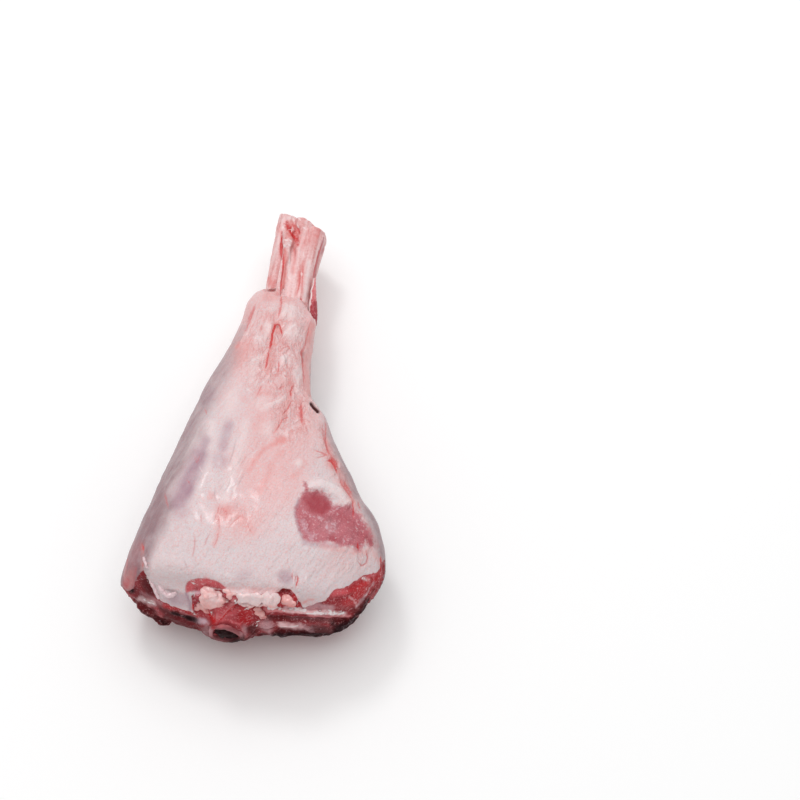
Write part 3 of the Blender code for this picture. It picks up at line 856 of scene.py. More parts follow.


# Colours of bare flesh, laid one over the other: tone, then the stroke or oval. The deep strokes and many dark ones
# paint shade in clefts and low on the cut face; some pale strokes paint highlights on wet film.
FLESH_STROKES = (
    ("patch", 335, 520, 90, 70, 0, 1), ("dusk", 331, 526, 11, 12, -30, 0.4), ("core", 334, 539, 8, 6, 20, 0.6),
    ("core", 307, 524, 8, 16, -10, 0.35), ("core", 15, 0.4, (338, 513), (352, 522), (368, 540)),
    ("mauve", 7, 0.5, (303, 520), (306, 530), (312, 538)),
    ("rose", 18, 1, (186, 592), (193, 583), (206, 581), (218, 584), (229, 589)), ("core", 196, 599, 7, 8, 0, 0.9),
    ("mauve", 5, 0.8, (187, 594), (194, 592), (201, 591)), ("pink", 14, 0.9, (316, 274), (317, 284), (317, 298)),
    ("core", 14, 0.9, (315, 305), (315, 314), (315, 324)),
    ("white", 2.6, 0.9, (313.6, 277), (311.5, 291), (310, 303), (309.3, 313)), ("dark", 147, 587, 13, 20, -20, 1),
    ("dusk", 6, 0.6, (140, 594), (147, 598), (156, 603), (163, 606)), ("deep", 130.5, 591.5, 5, 4, 30, 1),
    ("dark", 20, 1, (136, 604), (152, 614), (170, 624)), ("deep", 9, 0.8, (140, 612), (154, 621), (170, 629)),
    ("rose", 6, 0.9, (148, 605), (156, 610), (162, 616)), ("pale", 7, 1, (139, 599), (146, 602), (153, 606)),
    ("brown", 9, 0.8, (160, 609), (168, 613), (176, 616)), ("red", 9, 0.8, (164, 606), (180, 612), (196, 616)),
    ("dark", 26, 1, (166, 624), (188, 634), (206, 642)),
    ("deep", 15, 0.8, (164, 625), (176, 631), (192, 638), (206, 646)),
    ("deep", 9, 1, (172, 614), (184, 618), (197, 623)), ("dusk", 3, 0.4, (180, 613), (190, 617), (198, 620)),
    ("rose", 222, 613, 26, 13, 0, 1), ("pink", 7, 0.7, (234, 600), (229, 610), (222, 620)),
    ("pink", 215, 617, 5, 5, 0, 0.6), ("mauve", 201, 622.5, 9, 5.5, 15, 1), ("red", 247, 609, 13, 12, 0, 1),
    ("blood", 245, 619, 12, 9, 20, 1), ("blood", 4.5, 1, (204, 611), (210, 619), (214, 626)),
    ("blood", 212, 627.5, 5, 5, 0, 1), ("blood", 3, 0.8, (236, 606), (227, 615), (217, 625)),
    ("dusk", 206, 632, 7, 8, 0, 0.8), ("rose", 6, 0.8, (216, 622), (228, 621), (240, 625)),
    ("dusk", 245, 631, 5, 8, 0, 0.7), ("dark", 254, 631, 9, 10, 0, 1),
    ("deep", 18, 1, (205, 645), (228, 648), (255, 643), (280, 638)),
    ("blood", 8, 0.8, (276, 592), (284, 589), (292, 592), (298, 602)),
    ("dark", 5, 0.8, (280, 592), (286, 591), (292, 595)), ("red", 9, 0.8, (264, 608), (280, 606), (300, 606)),
    ("pink", 8, 0.9, (266, 610), (284, 612), (306, 613), (320, 614)),
    ("pale", 7, 0.9, (286, 609.5), (298, 611), (308, 612)), ("dark", 13, 0.9, (268, 619), (300, 620), (350, 621)),
    ("brown", 6, 0.8, (288, 619.5), (310, 620.5), (334, 621.5)),
    ("flesh", 5, 0.8, (268, 615), (300, 617.5), (340, 620)),
    ("deep", 20, 1, (278, 638), (305, 637), (332, 634), (356, 624), (370, 606)), ("dark", 358, 609, 12, 12, 0, 0.9),
    ("dusk", 267, 626.5, 11, 8.5, 20, 1), ("dusk", 6, 0.6, (268, 630), (271, 637)),
    ("brown", 9, 0.9, (300, 628), (316, 630), (330, 631)), ("pale", 9, 0.9, (280, 625.5), (290, 627), (300, 628)),
    ("dusk", 7, 0.8, (298, 627), (306, 629), (312, 631)), ("deep", 334, 625, 6, 4, 0, 0.8),
    ("deep", 9, 0.7, (338, 628), (352, 622), (364, 612)), ("flesh", 332, 603, 30, 9, -6, 1),
    ("dark", 318, 603.5, 9, 4, -8, 0.5), ("red", 352, 603, 14, 8, -10, 0.9), ("rose", 339, 592.5, 14, 7, -14, 1),
    ("bright", 361, 589, 22, 13, -32, 1), ("bright", 376, 577, 9, 14, 30, 0.9),
    ("rose", 8, 0.8, (346, 587), (360, 579), (374, 574)), ("pale", 367, 579, 5, 3.5, 20, 0.5),
    ("dusk", 9, 0.9, (305, 608), (318, 607), (332, 609)), ("pale", 8, 0.9, (308, 613), (326, 613), (345, 615)),
    ("pink", 4, 0.8, (310, 617), (330, 618), (350, 617)), ("pale", 3.5, 0.4, (350, 597), (354, 601), (357, 606)),
    ("dusk", 3.5, 0.8, (356, 608), (364, 601), (369, 594), (376, 583)),
    ("dark", 4, 0.7, (361, 610), (369, 602), (376, 590)), ("pale", 5, 0.8, (284, 611), (298, 612.5), (310, 613)),
    ("flesh", 146, 588, 10, 16, -20, 0.45),
)

# Colours of the bone's sawn wall, in the same way; its deep stroke paints shade under the bone.
BONE_STROKES = (
    ("rose", 226, 624, 18, 5, 0, 0.9), ("pink", 226, 624, 17, 4.5, 0, 0.75), ("dusk", 208.5, 630, 6, 10, 0, 0.9),
    ("dusk", 242, 631, 4, 8, 0, 0.8), ("blood", 213, 627, 4, 4, 0, 0.7),
    ("deep", 14, 1, (206, 641), (216, 644), (228, 645), (246, 640)),
)

# Wet glints on the cut face.
GLINTS = (
    (4, 1, (268, 608.5), (276, 608.5), (285, 611)), (4, 0.9, (289, 608), (297, 609), (305, 611)),
    (7, 1, (316, 613), (328, 613), (338, 614), (345, 614)), (3, 0.8, (307, 613), (314, 613.5)),
    (4, 0.5, (282, 625.5), (290, 626), (298, 627)), (3, 1, (257.5, 627), (257.5, 622.5), (261, 620)),
    (3.5, 0.8, (142, 600), (148, 602.5), (152, 605.5)), (2.5, 0.35, (357, 607), (364, 602), (368, 596), (374, 586)),
    (366, 579, 6, 3, 0, 0.4), (210.5, 613.5, 2.5, 3, 0, 0.8), (235.5, 602, 2.5, 4, 0, 0.9),
    (194.5, 614.5, 3, 2, 0, 0.7), (4, 0.6, (202, 592), (201, 599), (197, 605)), (248, 608, 8, 4, 0, 0.45),
    (193, 584, 6, 4, 0, 0.5), (206, 582, 14, 3, 0, 0.35), (4, 0.6, (148, 575), (147, 580), (150, 586)),
)

# Rolls and hollows of the skin and the cut face, in millimetres.
SKIN_RELIEF = (
    (14, 0.8, (308, 488), (320, 484), (331, 487), (341, 496), (347, 503)), (267, 627, 10, 7, 30, 1.2),
    (7, 0.7, (268, 610), (290, 611), (310, 613), (335, 614), (348, 612)), (6, -0.8, (268, 618), (300, 620), (345, 621)),
    (7, 0.6, (281, 626), (295, 627), (309, 629)), (284, 592, 8, 4, 0, -0.8),
    (8, 0.6, (331, 597), (350, 593), (372, 582)), (9, 0.6, (308, 630), (318, 631), (330, 632)),
    (7, 0.4, (142, 600), (152, 608), (163, 618)), (4, -0.6, (160, 610), (168, 614), (178, 619)),
)
# The notch beside the neck, as deep as its weight in millimetres.
NOTCH = (5, 1.1, (311.5, 403.5), (314, 407.5), (318, 411.5))

# ---- The silverskin and the muscle under it ----


def cut_field(canvas):
    """Above 0 on the bare cut face, below 0 on the silverskin, in millimetres."""
    ragged = ripple(canvas.points, 2.6, 5) * 0.35 + ripple(canvas.points, 1.3, 6) * 0.3
    seen = np.clip(canvas.area(*CUT_OUTLINE) + ragged, -4, 4)
    facing = -canvas.normals[:, 1] - 0.25 * canvas.normals[:, 2] + 0.14 * ripple(canvas.points, 6, 9)
    hidden = np.clip((facing - 0.42) * 9, -4, 4)
    field = canvas.seen * seen + (1 - canvas.seen) * hidden
    return np.minimum(field, (-20 - canvas.points[:, 1]) * 0.4)


def bare_field(canvas):
    """Above 0 where muscle lies bare above the cut face, in millimetres."""
    ragged = ripple(canvas.points, 2.2, 11) * 0.3 + ripple(canvas.points, 1.1, 12) * 0.3
    field = np.maximum(2.5 * canvas.area(*RED_CRESCENT), canvas.area(*MUSCLE_PATCH))
    return np.where(canvas.seen > 0.3, np.clip(field + ragged, -4, 4), -4)


def sheath_field(canvas):
    """Millimetres from the sheath's edge towards the knee; below 0 on the hock."""
    ragged = 0.2 * ripple(canvas.points, 2.4, 15)
    seen = -canvas.away(*SHEATH_EDGE)[0] / UNITS_PER_MM
    rim = np.interp(canvas.points[:, 0], [-10, -2, 10], [106, 101, 89])
    hidden = rim + 2 * ripple(canvas.points, 9, 17) - canvas.points[:, 1]
    return np.clip(canvas.seen * np.clip(seen, -6, 6) + (1 - canvas.seen) * np.clip(hidden, -6, 6) + ragged, -4, 4)


def skin_marks(canvas):
    """Every field that the skin's finish reads."""
    marks = {"cut": cut_field(canvas), "bare": bare_field(canvas)}
    for name, notes in SOFT_TINTS.items():
        marks[name] = canvas.painted(notes)
    marks["pit"] *= soft_step(canvas.facing, 0.0, 0.3) * soft_step(canvas.points[:, 2], 30, 35)
    marks["core"] = np.clip(canvas.area(*PATCH_CORE), -4, 4)
    marks["glint"] = canvas.wandered(0.6, 1.2).painted(GLINTS)
    # The flank mark is partly the muscle's tone and partly painted shade: outside the bands, where the surface turns
    # down, and towards the knee.
    band = np.maximum(-canvas.away(*LEFT_BAND)[0], canvas.away(*RIGHT_BAND)[0]) / UNITS_PER_MM
    slope = 1 - canvas.normals[:, 2] + 0.08 * ripple(canvas.points, 8, 41)
    low = soft_step(canvas.points[:, 1], 96, 60)
    band = band + 1.2 * ripple(canvas.points, 7, 42)
    hidden = 0.1 + (0.7 - 0.4 * soft_step(canvas.facing, -0.1, -0.75)) * low
    marks["flank_tone_and_shade"] = canvas.seen * soft_step(band, -4.5, 2.5) * low + (1 - canvas.seen) * hidden
    knee = 0.75 + 0.5 * soft_step(canvas.points[:, 1], 40, -45)
    marks["flank_tone_and_shade"] = np.clip(marks["flank_tone_and_shade"] * knee * (0.75 + 0.5 * soft_step(slope, 0.1, 0.9)), 0, 1)
    upper = soft_step(canvas.points[:, 1], 50, 85)
    marks["rosy"] = np.maximum(marks["rosy"], 0.85 * upper)
    below = soft_step(canvas.points[:, 2], 26, 2) * canvas.normals[:, 1] ** 2
    marks["shade"] = np.maximum(marks["shade"], below * 0.7)
    return marks


def skin_relief(canvas, marks, lines):
    """How far each point stands out from the plain form, in millimetres. The last number of a ripple is its seed."""
    points = canvas.points
    cut = soft_step(marks["cut"], -0.2, 0.5)
    bare = soft_step(marks["bare"], -0.9, 1.1) * (1 - cut)
    relief = 0.2 * ripple(points, 9, 51) + 0.12 * ripple(points, 3.5, 52)
    # The membrane's grain runs a little to the left of the shank's own length.
    lean = points @ np.array([[0.9, 0.42, 0], [-0.42, 0.9, 0], [0, 0, 1]]).T * np.array([1, 0.2, 1])
    relief += 0.13 * ripple(lean, 1.7, 53) * (1 - cut)
    relief += -0.7 * cut - 0.35 * bare
    relief += cut * (0.55 * ripple(points, 4.5, 54) + 0.4 * ripple(points, 1.8, 55))
    relief += 0.3 * bare * ripple(points, 1.8, 56)
    sheath = sheath_field(canvas)
    relief += np.where(sheath > 0, 0.35 * soft_step(sheath, 3.5, 0.6), 0) * soft_step(canvas.u, 280, 290)
    relief += 0.5 * marks["white"] - 0.25 * marks["mauve"]
    for (away, near), depth in zip(lines, (-0.55, 0.3, -0.3)):
        relief += depth * near * (1 - soft_step(away, -0.1, 0.7))
    on_top = soft_step(canvas.facing, 0.1, 0.4) * soft_step(points[:, 2], 31, 36)
    return relief + canvas.raised(SKIN_RELIEF) - canvas.raised((NOTCH,)) * on_top


def skin_finish():
    """The finish of silverskin and bare muscle, mixed by the marks."""
    tones = settings().skin
    f = Finish("silverskin")
    wide, patchy, fine = f.noise(12 * MM, 2), f.noise(4 * MM, 4, 0.6), f.noise(1.4 * MM, 3, 0.6)
    speck, dust = f.noise(0.55 * MM, 2), f.noise(0.3 * MM, 1)
    grain = f.noise(1.5 * MM, 3, place=f.stretched((1, 0.14, 1), (0, 0, 0.42)))
    strand = f.noise(0.8 * MM, 2, place=f.stretched((1, 0.12, 1), (0, 0, 0.2)))
    wrinkle = abs(f.noise(1.7 * MM, 3, 0.6, f.stretched((1, 0.25, 1)), 0.5))
    crinkle, hidden = f.attribute("crinkle"), 1 - f.attribute("seen")

    def tint(name, break_up=1.2):
        """A soft mark, broken up by noise."""
        return (f.attribute(name) * (1 + (patchy + fine * 0.6) * break_up)).held()

    rosy = (f.attribute("rosy") * 0.95 + wide * 0.35 + patchy * 0.45 + fine * 0.3).over(0.0, 1.0)
    mottle = speck * 1.3 + dust * 2.2 + grain * 0.8
    folds = f.cells(30 * MM, f.stretched((1, 0.3, 1), (0, 0, 0.15))) + wide * 0.12 + fine * 0.03
    faded = (wide + patchy * 0.6).over(-0.15, 0.2)
    flank_tone_and_shade = (f.attribute("flank_tone_and_shade") * (1 + patchy * 0.7 + grain * 0.8)).held()
    membrane = f.laid(
        f.mix(rosy, tones.cool, tones.rosy),
        ((fine + speck * 0.9 + grain * 0.5).over(0.05, 0.65) * 0.5, tones.white),
        ((mottle + crinkle * 0.2).over(-0.1, 0.8) * (0.42 + crinkle * 0.08), tones.blush),
        ((0 - mottle).over(-0.05, 0.8) * 0.44, "d3d4d8"),
        (wrinkle.over(0.04, 0.0) * crinkle * 0.6, "c97f7d"),
        ((wrinkle + speck * 0.4).over(0.09, 0.2) * crinkle * 0.45, "f0e2e2"),
        (tint("white", 1.0) * 0.8, tones.white),
        (tint("mauve", 0.8) * 0.9, tones.mauve),
        (flank_tone_and_shade * 0.9, tones.flank_tone_and_shade),
        (folds.over(0.055, 0.0) * faded * hidden * 0.35, tones.white),
        (tint("blush", 1.6) * 0.7, tones.blush),
        (tint("ruddy", 1.2) * 0.85, "bb5c60"),
        # Painted shade in the creases.
        (f.line("dark", fine * 0.5, 0.2) * 0.45, tones.flank_tone_and_shade),
        (f.line("red", fine * 0.6, 0.5) * 0.3, tones.blush),
        # Pale threads, and glints painted as highlights.
        (f.line("pale", fine * 0.4, 0.1) * 0.7, "f2e6e6"),
        # Painted shade over dark red muscle in the notch and slits.
        (tint("pit", 0.6) * 0.97, "3c0a0c"),
    )

    bundles = f.cells(13 * MM) + patchy * 0.25 + fine * 0.12
    broken = (wide + patchy * 0.7).over(-0.05, 0.22)
    # Less gloss and fewer light flecks under the painted shade.
    unshaded = 1 - tint("shade") * 0.9
    flecks = (f.attribute("film") * 0.8 + patchy * 0.4 + fine * 1.6 + speck * 2.6).over(0.25, 1.2)
    core = (f.attribute("core") + fine * 3.0 + patchy * 6.5 + speck * 1.5).over(-1.3, 1.8)
    threads = f.noise(0.6 * MM, 2, place=f.stretched((0.25, 1, 1)))
    glint = (f.attribute("glint") * 0.8 + threads * 2.2 + speck * 2.0).over(0.35, 0.8)
    glint = glint * f.attribute("glint").over(0.02, 0.25)
    flesh = f.laid(
        f.colour("flesh"),
        ((patchy + wide * 0.8).over(-0.1, 0.35) * hidden * 0.8, "b2484c"),
        (bundles.over(0.06, -0.02) * broken * hidden * 0.26, "c9979b"),
        ((0 - patchy - fine * 0.7).over(0.0, 0.35) * 0.36, "57191e"),
        ((speck * 1.2 + dust * 1.4 + fine * 0.4).over(0.02, 0.5) * 0.48 * unshaded, "e8a4a5"),
        (tint("shade", 0.8) * 0.6, "260a0f"),
        (flecks * 0.7, "cfb0b8"),
        (core * 0.85, settings().flesh.core),
        (glint * 0.85, "f4ebeb"),
    )

    bare = (f.attribute("bare") + patchy * 2.0 + fine * 2.6 + speck * 2.6).over(-1.3, 1.1)
    cut = (f.attribute("cut") + fine * 0.5 + speck * 0.4).over(-0.12, 0.15)
    open_flesh = (cut + bare).held()
    slits = f.line("red", fine * 1.0 + speck * 0.6)
    colours = f.mix(slits * (0.85 + patchy), f.mix(open_flesh, membrane, flesh), tones.vein)
    height = grain * 1.1 + strand * 0.5 + fine * 0.5 + speck * 0.25 + dust * 0.15
    height = (height + wrinkle.over(0.12, 0.0) * crinkle * -0.35) * (1 - cut * 0.3) + glint * 0.3
    wet = (0.36 + (speck + fine).over(0.15, 0.5) * 0.3) * unshaded * (1 - cut * 0.9)
    wet = (wet * (1 - slits) * (1 - tint("pit", 0.6)) + glint * 0.5).held()
    return f.finish(
        Base_Color=colours, Roughness=0.45 + patchy * 0.25, Normal=f.bump(height, 0.78 * MM),
        Specular_IOR_Level=0.04, Coat_Weight=wet, Coat_Roughness=0.18, Subsurface_Weight=0.1,
        Subsurface_Radius=(1.0, 0.32, 0.25), Subsurface_Scale=1.4 * MM,
    )


class SHANK_OT_skin(bpy.types.Operator):
    """Makes the silverskin, the bare muscle and the cut face"""

    bl_idname = "shank.skin"
    bl_label = "Skin"

    def on_face(self, centre, normal):
        """Whether a face of the mesh belongs to the cut face that the camera sees."""
        if centre.y > -0.02 or normal.dot(sight_axes()[2]) < -0.05:
            return False
        u, v = on_frame(np.array([centre]))
        return v[0] > 566 and v[0] > 578 - (u[0] - 330) * 0.25

    def seat_bone(self, skin):
        """Draws the skin out to the sawn bone's face all round it."""
        points, _ = read_points(skin)
        radius = np.hypot(points[:, 0], points[:, 2] - BONE_Z * MM)
        swell = soft_step(radius, 16 * MM, 8 * MM) * (points[:, 1] < -50 * MM)
        points[:, 1] += swell * (RIM_Y * MM - points[:, 1])
        write_points(skin, points)

    def close_collar(self, skin):
        """Lays the sheath's rim flush on the hock and tucks it in beyond. Returns how flush each point is."""
        canvas = Canvas(skin)
        points, _ = read_points(skin)
        sheath = sheath_field(canvas)
        from_edge = -canvas.away(*SHEATH_EDGE)[0] / UNITS_PER_MM
        ease = soft_step(canvas.u, 260, 272) * (1 - 0.4 * soft_step(canvas.u, 282, 294))
        reach = 3 + 7 * soft_step(canvas.u, 292, 276)
        flush = canvas.seen * ease * soft_step(from_edge, reach, 0.2)
        dive = soft_step(sheath, 0.1, -0.8)
        high = points[:, 1] > 80 * MM  # only near the hock
        hock = surface_of("hock")
        back = np.array(sight_axes()[2])
        for k in np.nonzero(high & ((flush > 0) | (dive > 0)))[0]:
            place, _, _, _ = hock.ray_cast(*sight_line(canvas.u[k], canvas.v[k]))
            if flush[k] > 0 and place is not None:
                rise = -0.3 + 0.8 * float(soft_step(from_edge[k], 0.0, 2.4))
                pull = np.array(place) + back * rise * MM - points[k]
                points[k] += flush[k] * pull * min(1.0, LONGEST_PULL / max(np.linalg.norm(pull), 1e-6))
            place, out, _, _ = hock.find_nearest(Vector(points[k]))
            place, out = np.array(place), np.array(out)
            deep = (0.7 if canvas.seen[k] > 0.3 else 1.6) * MM  # how far under the hock's surface it is tucked
            if (points[k] - place) @ out > -deep:
                points[k] += dive[k] * (place - out * deep - points[k])
        write_points(skin, points)
        collar = skin.vertex_groups.new(name="collar")
        for k in np.nonzero(high & (flush > 0.02) & (dive == 0))[0]:
            collar.add([int(k)], min(1.0, 2 * flush[k]), "REPLACE")
        for k in np.nonzero(high & (canvas.seen < 0.5) & (np.abs(sheath) < 3.5))[0]:
            collar.add([int(k)], 1.0, "REPLACE")
        applied(skin, "SMOOTH", factor=0.5, iterations=6, vertex_group="collar")
        skin.vertex_groups.clear()
        return flush

    def execute(self, context):
        parts = [copy_of("meat"), copy_of("bone", 0.3, CORE_INSIDE, COLLAR_TOP), copy_of("marrow", 0.4, CORE_INSIDE)]
        parts += [copy_of("tendon_side", 0.2, None, COLLAR_TOP), copy_of("tendon_front", 0.3, None, COLLAR_TOP)]
        skin = fused(parts, settings().skin.voxel)
        pick(skin, self.on_face)
        bpy.ops.mesh.subdivide(number_cuts=1, smoothness=0)
        bpy.ops.object.mode_set(mode="OBJECT")
        self.seat_bone(skin)
        flush = self.close_collar(skin)
        canvas = Canvas(skin)
        canvas.hide_far(surface_of(skin.name))
        marks = skin_marks(canvas)
        notes = {"red": RED_LINES + RED_FACE_LINES, "pale": PALE_THREADS_AND_GLINTS, "dark": CREASE_SHADE_LINES}
        lines = [canvas.lay_lines(name, rows) for name, rows in notes.items()]
        relief = skin_relief(canvas, marks, lines) * (1 - 0.8 * flush)
        moved = (canvas.points + canvas.normals * relief[:, None]) * MM
        moved[:, 2] = np.maximum(moved[:, 2], 0.0)
        write_points(skin, moved)
        marks["seen"] = canvas.seen
        for name, values in marks.items():
            lay(skin, name, values)
        lay_colours(skin, "flesh", canvas.coloured("flesh", FLESH_STROKES))
        placed(skin, "shank_skin", skin_finish(), "silverskin", "meat")
        return {"FINISHED"}


class SHANK_OT_sliver(bpy.types.Operator):
    """Makes the sliver of dark muscle beside the hock"""

    bl_idname = "shank.sliver"
    bl_label = "Muscle sliver"

    def execute(self, context):
        hock = surface_of("hock")
        finish = bpy.data.objects["shank_skin"].data.materials[0]
        beads = []
        right = sight_axes()[0]
        for u, v, half in MUSCLE_SLIVER:
            place, _ = landing(hock, SLIVER_REST, v)
            aside = right * ((u - SLIVER_REST) / UNITS_PER_MM * MM) - Vector((0, 0, 2.2 * MM))
            beads.append(made(
                bpy.ops.mesh.primitive_uv_sphere_add, segments=24, ring_count=16, radius=half / UNITS_PER_MM * MM,
                location=Vector(place * MM) + aside, scale=(1, 1.6, 1.3),
            ))
        sliver = fused(beads, 0.3 * MM, 8)
        canvas = Canvas(sliver)
        canvas.push(0.2 * ripple(canvas.points * np.array([1, 0.3, 1]), 1.2, 57))
        for name, value in (("bare", 4.0), ("seen", 1.0), ("core", -4.0)):
            lay(sliver, name, np.full(len(canvas.u), value))
        lay_colours(sliver, "flesh", canvas.coloured("red", FLESH_STROKES))
        placed(sliver, "muscle_sliver", finish, "silverskin")
        return {"FINISHED"}


# ---- The hock ----

# Soft marks and lines of the hock.
HOCK_TINTS = {
    "blush": (
        (7, 0.85, (284, 250), (285, 262), (285, 274), (282, 288)), (8, 0.6, (293, 243), (295, 256), (293, 272)),
        (292, 231, 10, 14, -20, 0.9), (314, 236, 10, 16, 15, 0.6), (269, 281, 7, 9, 0, 0.85),
        (6, 0.6, (299, 272), (299, 283), (296, 294)), (6, 0.5, (303, 262), (302, 280), (302, 292)),
        (303, 240, 6, 18, 0, 0.3), (279, 228, 4, 10, 0, 0.5), (5, 0.35, (276, 240), (272, 262), (268, 276)),
        (10, 0.7, (316, 276), (317, 292), (316, 310)),
    ),
    "white": (
        (8, 0.7, (309, 262), (307, 280), (305.5, 300)), (4, 0.7, (289, 249), (289, 262), (288, 276)),
        (288, 243, 6, 6, 0, 0.3), (284.5, 233.5, 4, 4, 0, 0.5), (290, 218, 8, 4, 0, 0.4),
        (3, 0.9, (314.5, 279), (311.5, 291), (309.5, 303), (309, 312)), (275, 252, 4, 20, 8, 0.4),
    ),
    "strip": (
        (5, 0.7, (323.5, 238), (320, 252), (316.5, 265), (314, 277)), (323, 250, 4, 8, 10, 0.6),
    ),
    "pit": (
        (9, 0.75, (286, 223), (290, 229), (295, 236), (297, 243)), (6, 0.5, (294, 226), (299, 233)),
        (4, 0.8, (281.5, 232), (281, 241), (282, 247)),
    ),
}

HOCK_RED_LINES = (
    (2.2, 0.9, (281.5, 232), (280.8, 242), (281, 252), (283, 260), (283.5, 268), (282.5, 277), (281, 287),
     (281.5, 300)),
    (2.2, 0.9, (286, 223), (289, 228), (293.5, 234), (297, 239)), (1.5, 0.7, (297, 226), (299, 233)),
    (1.1, 0.5, (299.5, 274), (299.3, 283), (297, 293)), (1, 0.45, (302.7, 266), (302.5, 280), (302, 291)),
    (1.6, 0.8, (301, 297), (301.8, 305)), (1, 0.3, (293, 246), (295, 256)),
    (1.3, 0.6, (322.5, 243), (318.5, 257), (315.5, 268), (313, 279)), (0.9, 0.3, (268, 277), (269, 286)),
    (0.8, 0.25, (308, 228), (309, 244)),
)

# Pale threads of the hock, and glints painted as highlights.
HOCK_PALE_THREADS_AND_GLINTS = (
    (1.4, 0.7, (292.5, 227), (292.5, 231)), (1.5, 0.8, (297.5, 225), (298.5, 227.5)),
    (1.5, 0.7, (293, 218), (294, 222)), (1.3, 0.7, (303, 227), (305, 228.5)), (1.2, 0.5, (298, 217), (301, 221)),
    (1.3, 0.7, (284, 245), (286, 247)), (1.3, 0.7, (288, 245), (290, 246.5)), (1.2, 0.7, (285, 240), (287, 241)),
    (1.2, 0.7, (289, 240), (291.5, 242)), (1.3, 0.5, (282.5, 229), (284, 226)), (1.3, 0.6, (301.5, 272), (301.5, 276)),
    (1, 0.5, (289.5, 252), (289, 264)), (1, 0.3, (303.5, 253), (304, 257)), (1.4, 0.4, (279, 286), (280, 290)),
    (1.8, 0.9, (314.5, 280), (311.5, 292), (309.6, 304), (309.3, 312)),
)


# Knobs and grooves of the hock, in millimetres.
HOCK_RELIEF = (
    (288, 243, 6.5, 6.5, 0, 0.9), (284.5, 233.5, 4, 4, 0, 0.9), (6, -0.5, (285, 252), (286, 266), (284, 282)),
    (6, -0.4, (294, 246), (294, 260), (293, 276)), (4, 0.4, (289, 248), (289, 264), (288, 278)),
)


def hock_finish():
    """The finish of the sinews over the bone."""
    tones = settings().skin
    f = Finish("hock_sinew")
    patchy, fine, speck = f.noise(4 * MM, 3), f.noise(1.2 * MM, 3), f.noise(0.5 * MM, 2)
    strand = f.noise(0.9 * MM, 3, place=f.stretched((1, 0.10, 1), (0, 0, 0.04)))
    broad = f.noise(2.2 * MM, 2, place=f.stretched((1, 0.12, 1), (0, 0, 0.04)))
    streak = (strand * 1.5 + broad * 1.4 + patchy * 0.5 + speck * 0.8).over(-0.5, 0.6)
    colours = f.laid(
        f.mix(streak, "e8c6c6", "cb7f7d"),
        ((fine + speck).over(0.1, 0.6) * 0.3, tones.white),
        ((f.attribute("white") * (1 + fine)).held() * 0.75, tones.white),
        ((f.attribute("blush") * (1 + patchy + fine)).held() * 0.8, "d46f6b"),
        ((f.attribute("pit") * (1 + fine * 2.5 + speck * 2)).held() * 0.9, "c43a3b"),
        ((f.attribute("strip") * 1.3 + fine * 0.8 + strand * 0.8).over(0.1, 1.1) * 0.9, "a8444c"),
        (f.line("red", fine * 0.4) * 0.85, tones.vein),
        # Pale threads, and glints painted as highlights.
        (f.line("pale", fine * 0.3) * 0.8, "f4eaea"),
    )
    height = strand * 0.7 + fine * 0.4 + speck * 0.3
    return f.finish(
        Base_Color=colours, Roughness=0.42 + patchy * 0.25, Normal=f.bump(height, 0.4 * MM, 0.7),
        Specular_IOR_Level=0.25, Coat_Weight=0.25, Coat_Roughness=0.18, Subsurface_Weight=0.12,
        Subsurface_Radius=(1.0, 0.35, 0.28), Subsurface_Scale=1.6 * MM,
    )


class SHANK_OT_hock(bpy.types.Operator):
    """Makes the trimmed hock with its tendons"""

    bl_idname = "shank.hock"
    bl_label = "Hock"

    def execute(self, context):
        parts = [copy_of("bone", 0.05, HOCK_START), copy_of("tendon_front", 0.1), copy_of("tendon_side", 0.1)]
        hock = fused(parts, settings().bone.hock_voxel, 5)
        canvas = Canvas(hock)
        points = canvas.points
        for name, notes in HOCK_TINTS.items():
            lay(hock, name, canvas.painted(notes))
        red, pale = canvas.lay_lines("red", HOCK_RED_LINES), canvas.lay_lines("pale", HOCK_PALE_THREADS_AND_GLINTS)
        grain = points * np.array([1, 0.15, 1])
        relief = 0.16 * ripple(grain, 2.2, 81) + 0.09 * ripple(grain, 1.0, 82) + 0.12 * ripple(points, 3, 83)
        relief -= 0.6 * red[1] * (1 - soft_step(red[0], -0.1, 0.6))
        relief += 0.1 * pale[1] * (1 - soft_step(pale[0], -0.1, 0.4))
        tip = soft_step(points[:, 1], 128, 136)
        relief += tip * (0.35 * ripple(points, 2.2, 84) + 0.2 * ripple(points, 1.1, 85))
        relief -= 0.6 * canvas.painted(HOCK_TINTS["pit"])
        relief += canvas.raised(HOCK_RELIEF)
        canvas.push(relief)
        placed(hock, "hock", hock_finish(), "sinew", "tendon_front", "tendon_side")
        return {"FINISHED"}


# ---- The bone's sawn end ----


def bone_finish():
    """The finish of the bone's sawn wall."""
    f = Finish("sawn_bone")
    patchy, fine = f.noise(3 * MM, 3), f.noise(0.5 * MM, 3)
    pores = f.cells(0.8 * MM, feature="F1")
    colours = f.laid(
        f.colour("flesh"),
        ((patchy + fine * 0.5).over(-0.1, 0.5) * 0.3, settings().bone.hard),
        (pores.over(0.35, 0.1) * 0.4, "561c20"),
        ((fine + patchy * 0.4).over(0.1, 0.4) * 0.4, "d9a3a5"),
    )
    return f.finish(
        Base_Color=colours, Roughness=0.5 + patchy * 0.15, Normal=f.bump(fine + pores * 0.5, 0.3 * MM, 0.5),
        Specular_IOR_Level=0.06, Coat_Weight=0.04, Coat_Roughness=0.2,
    )


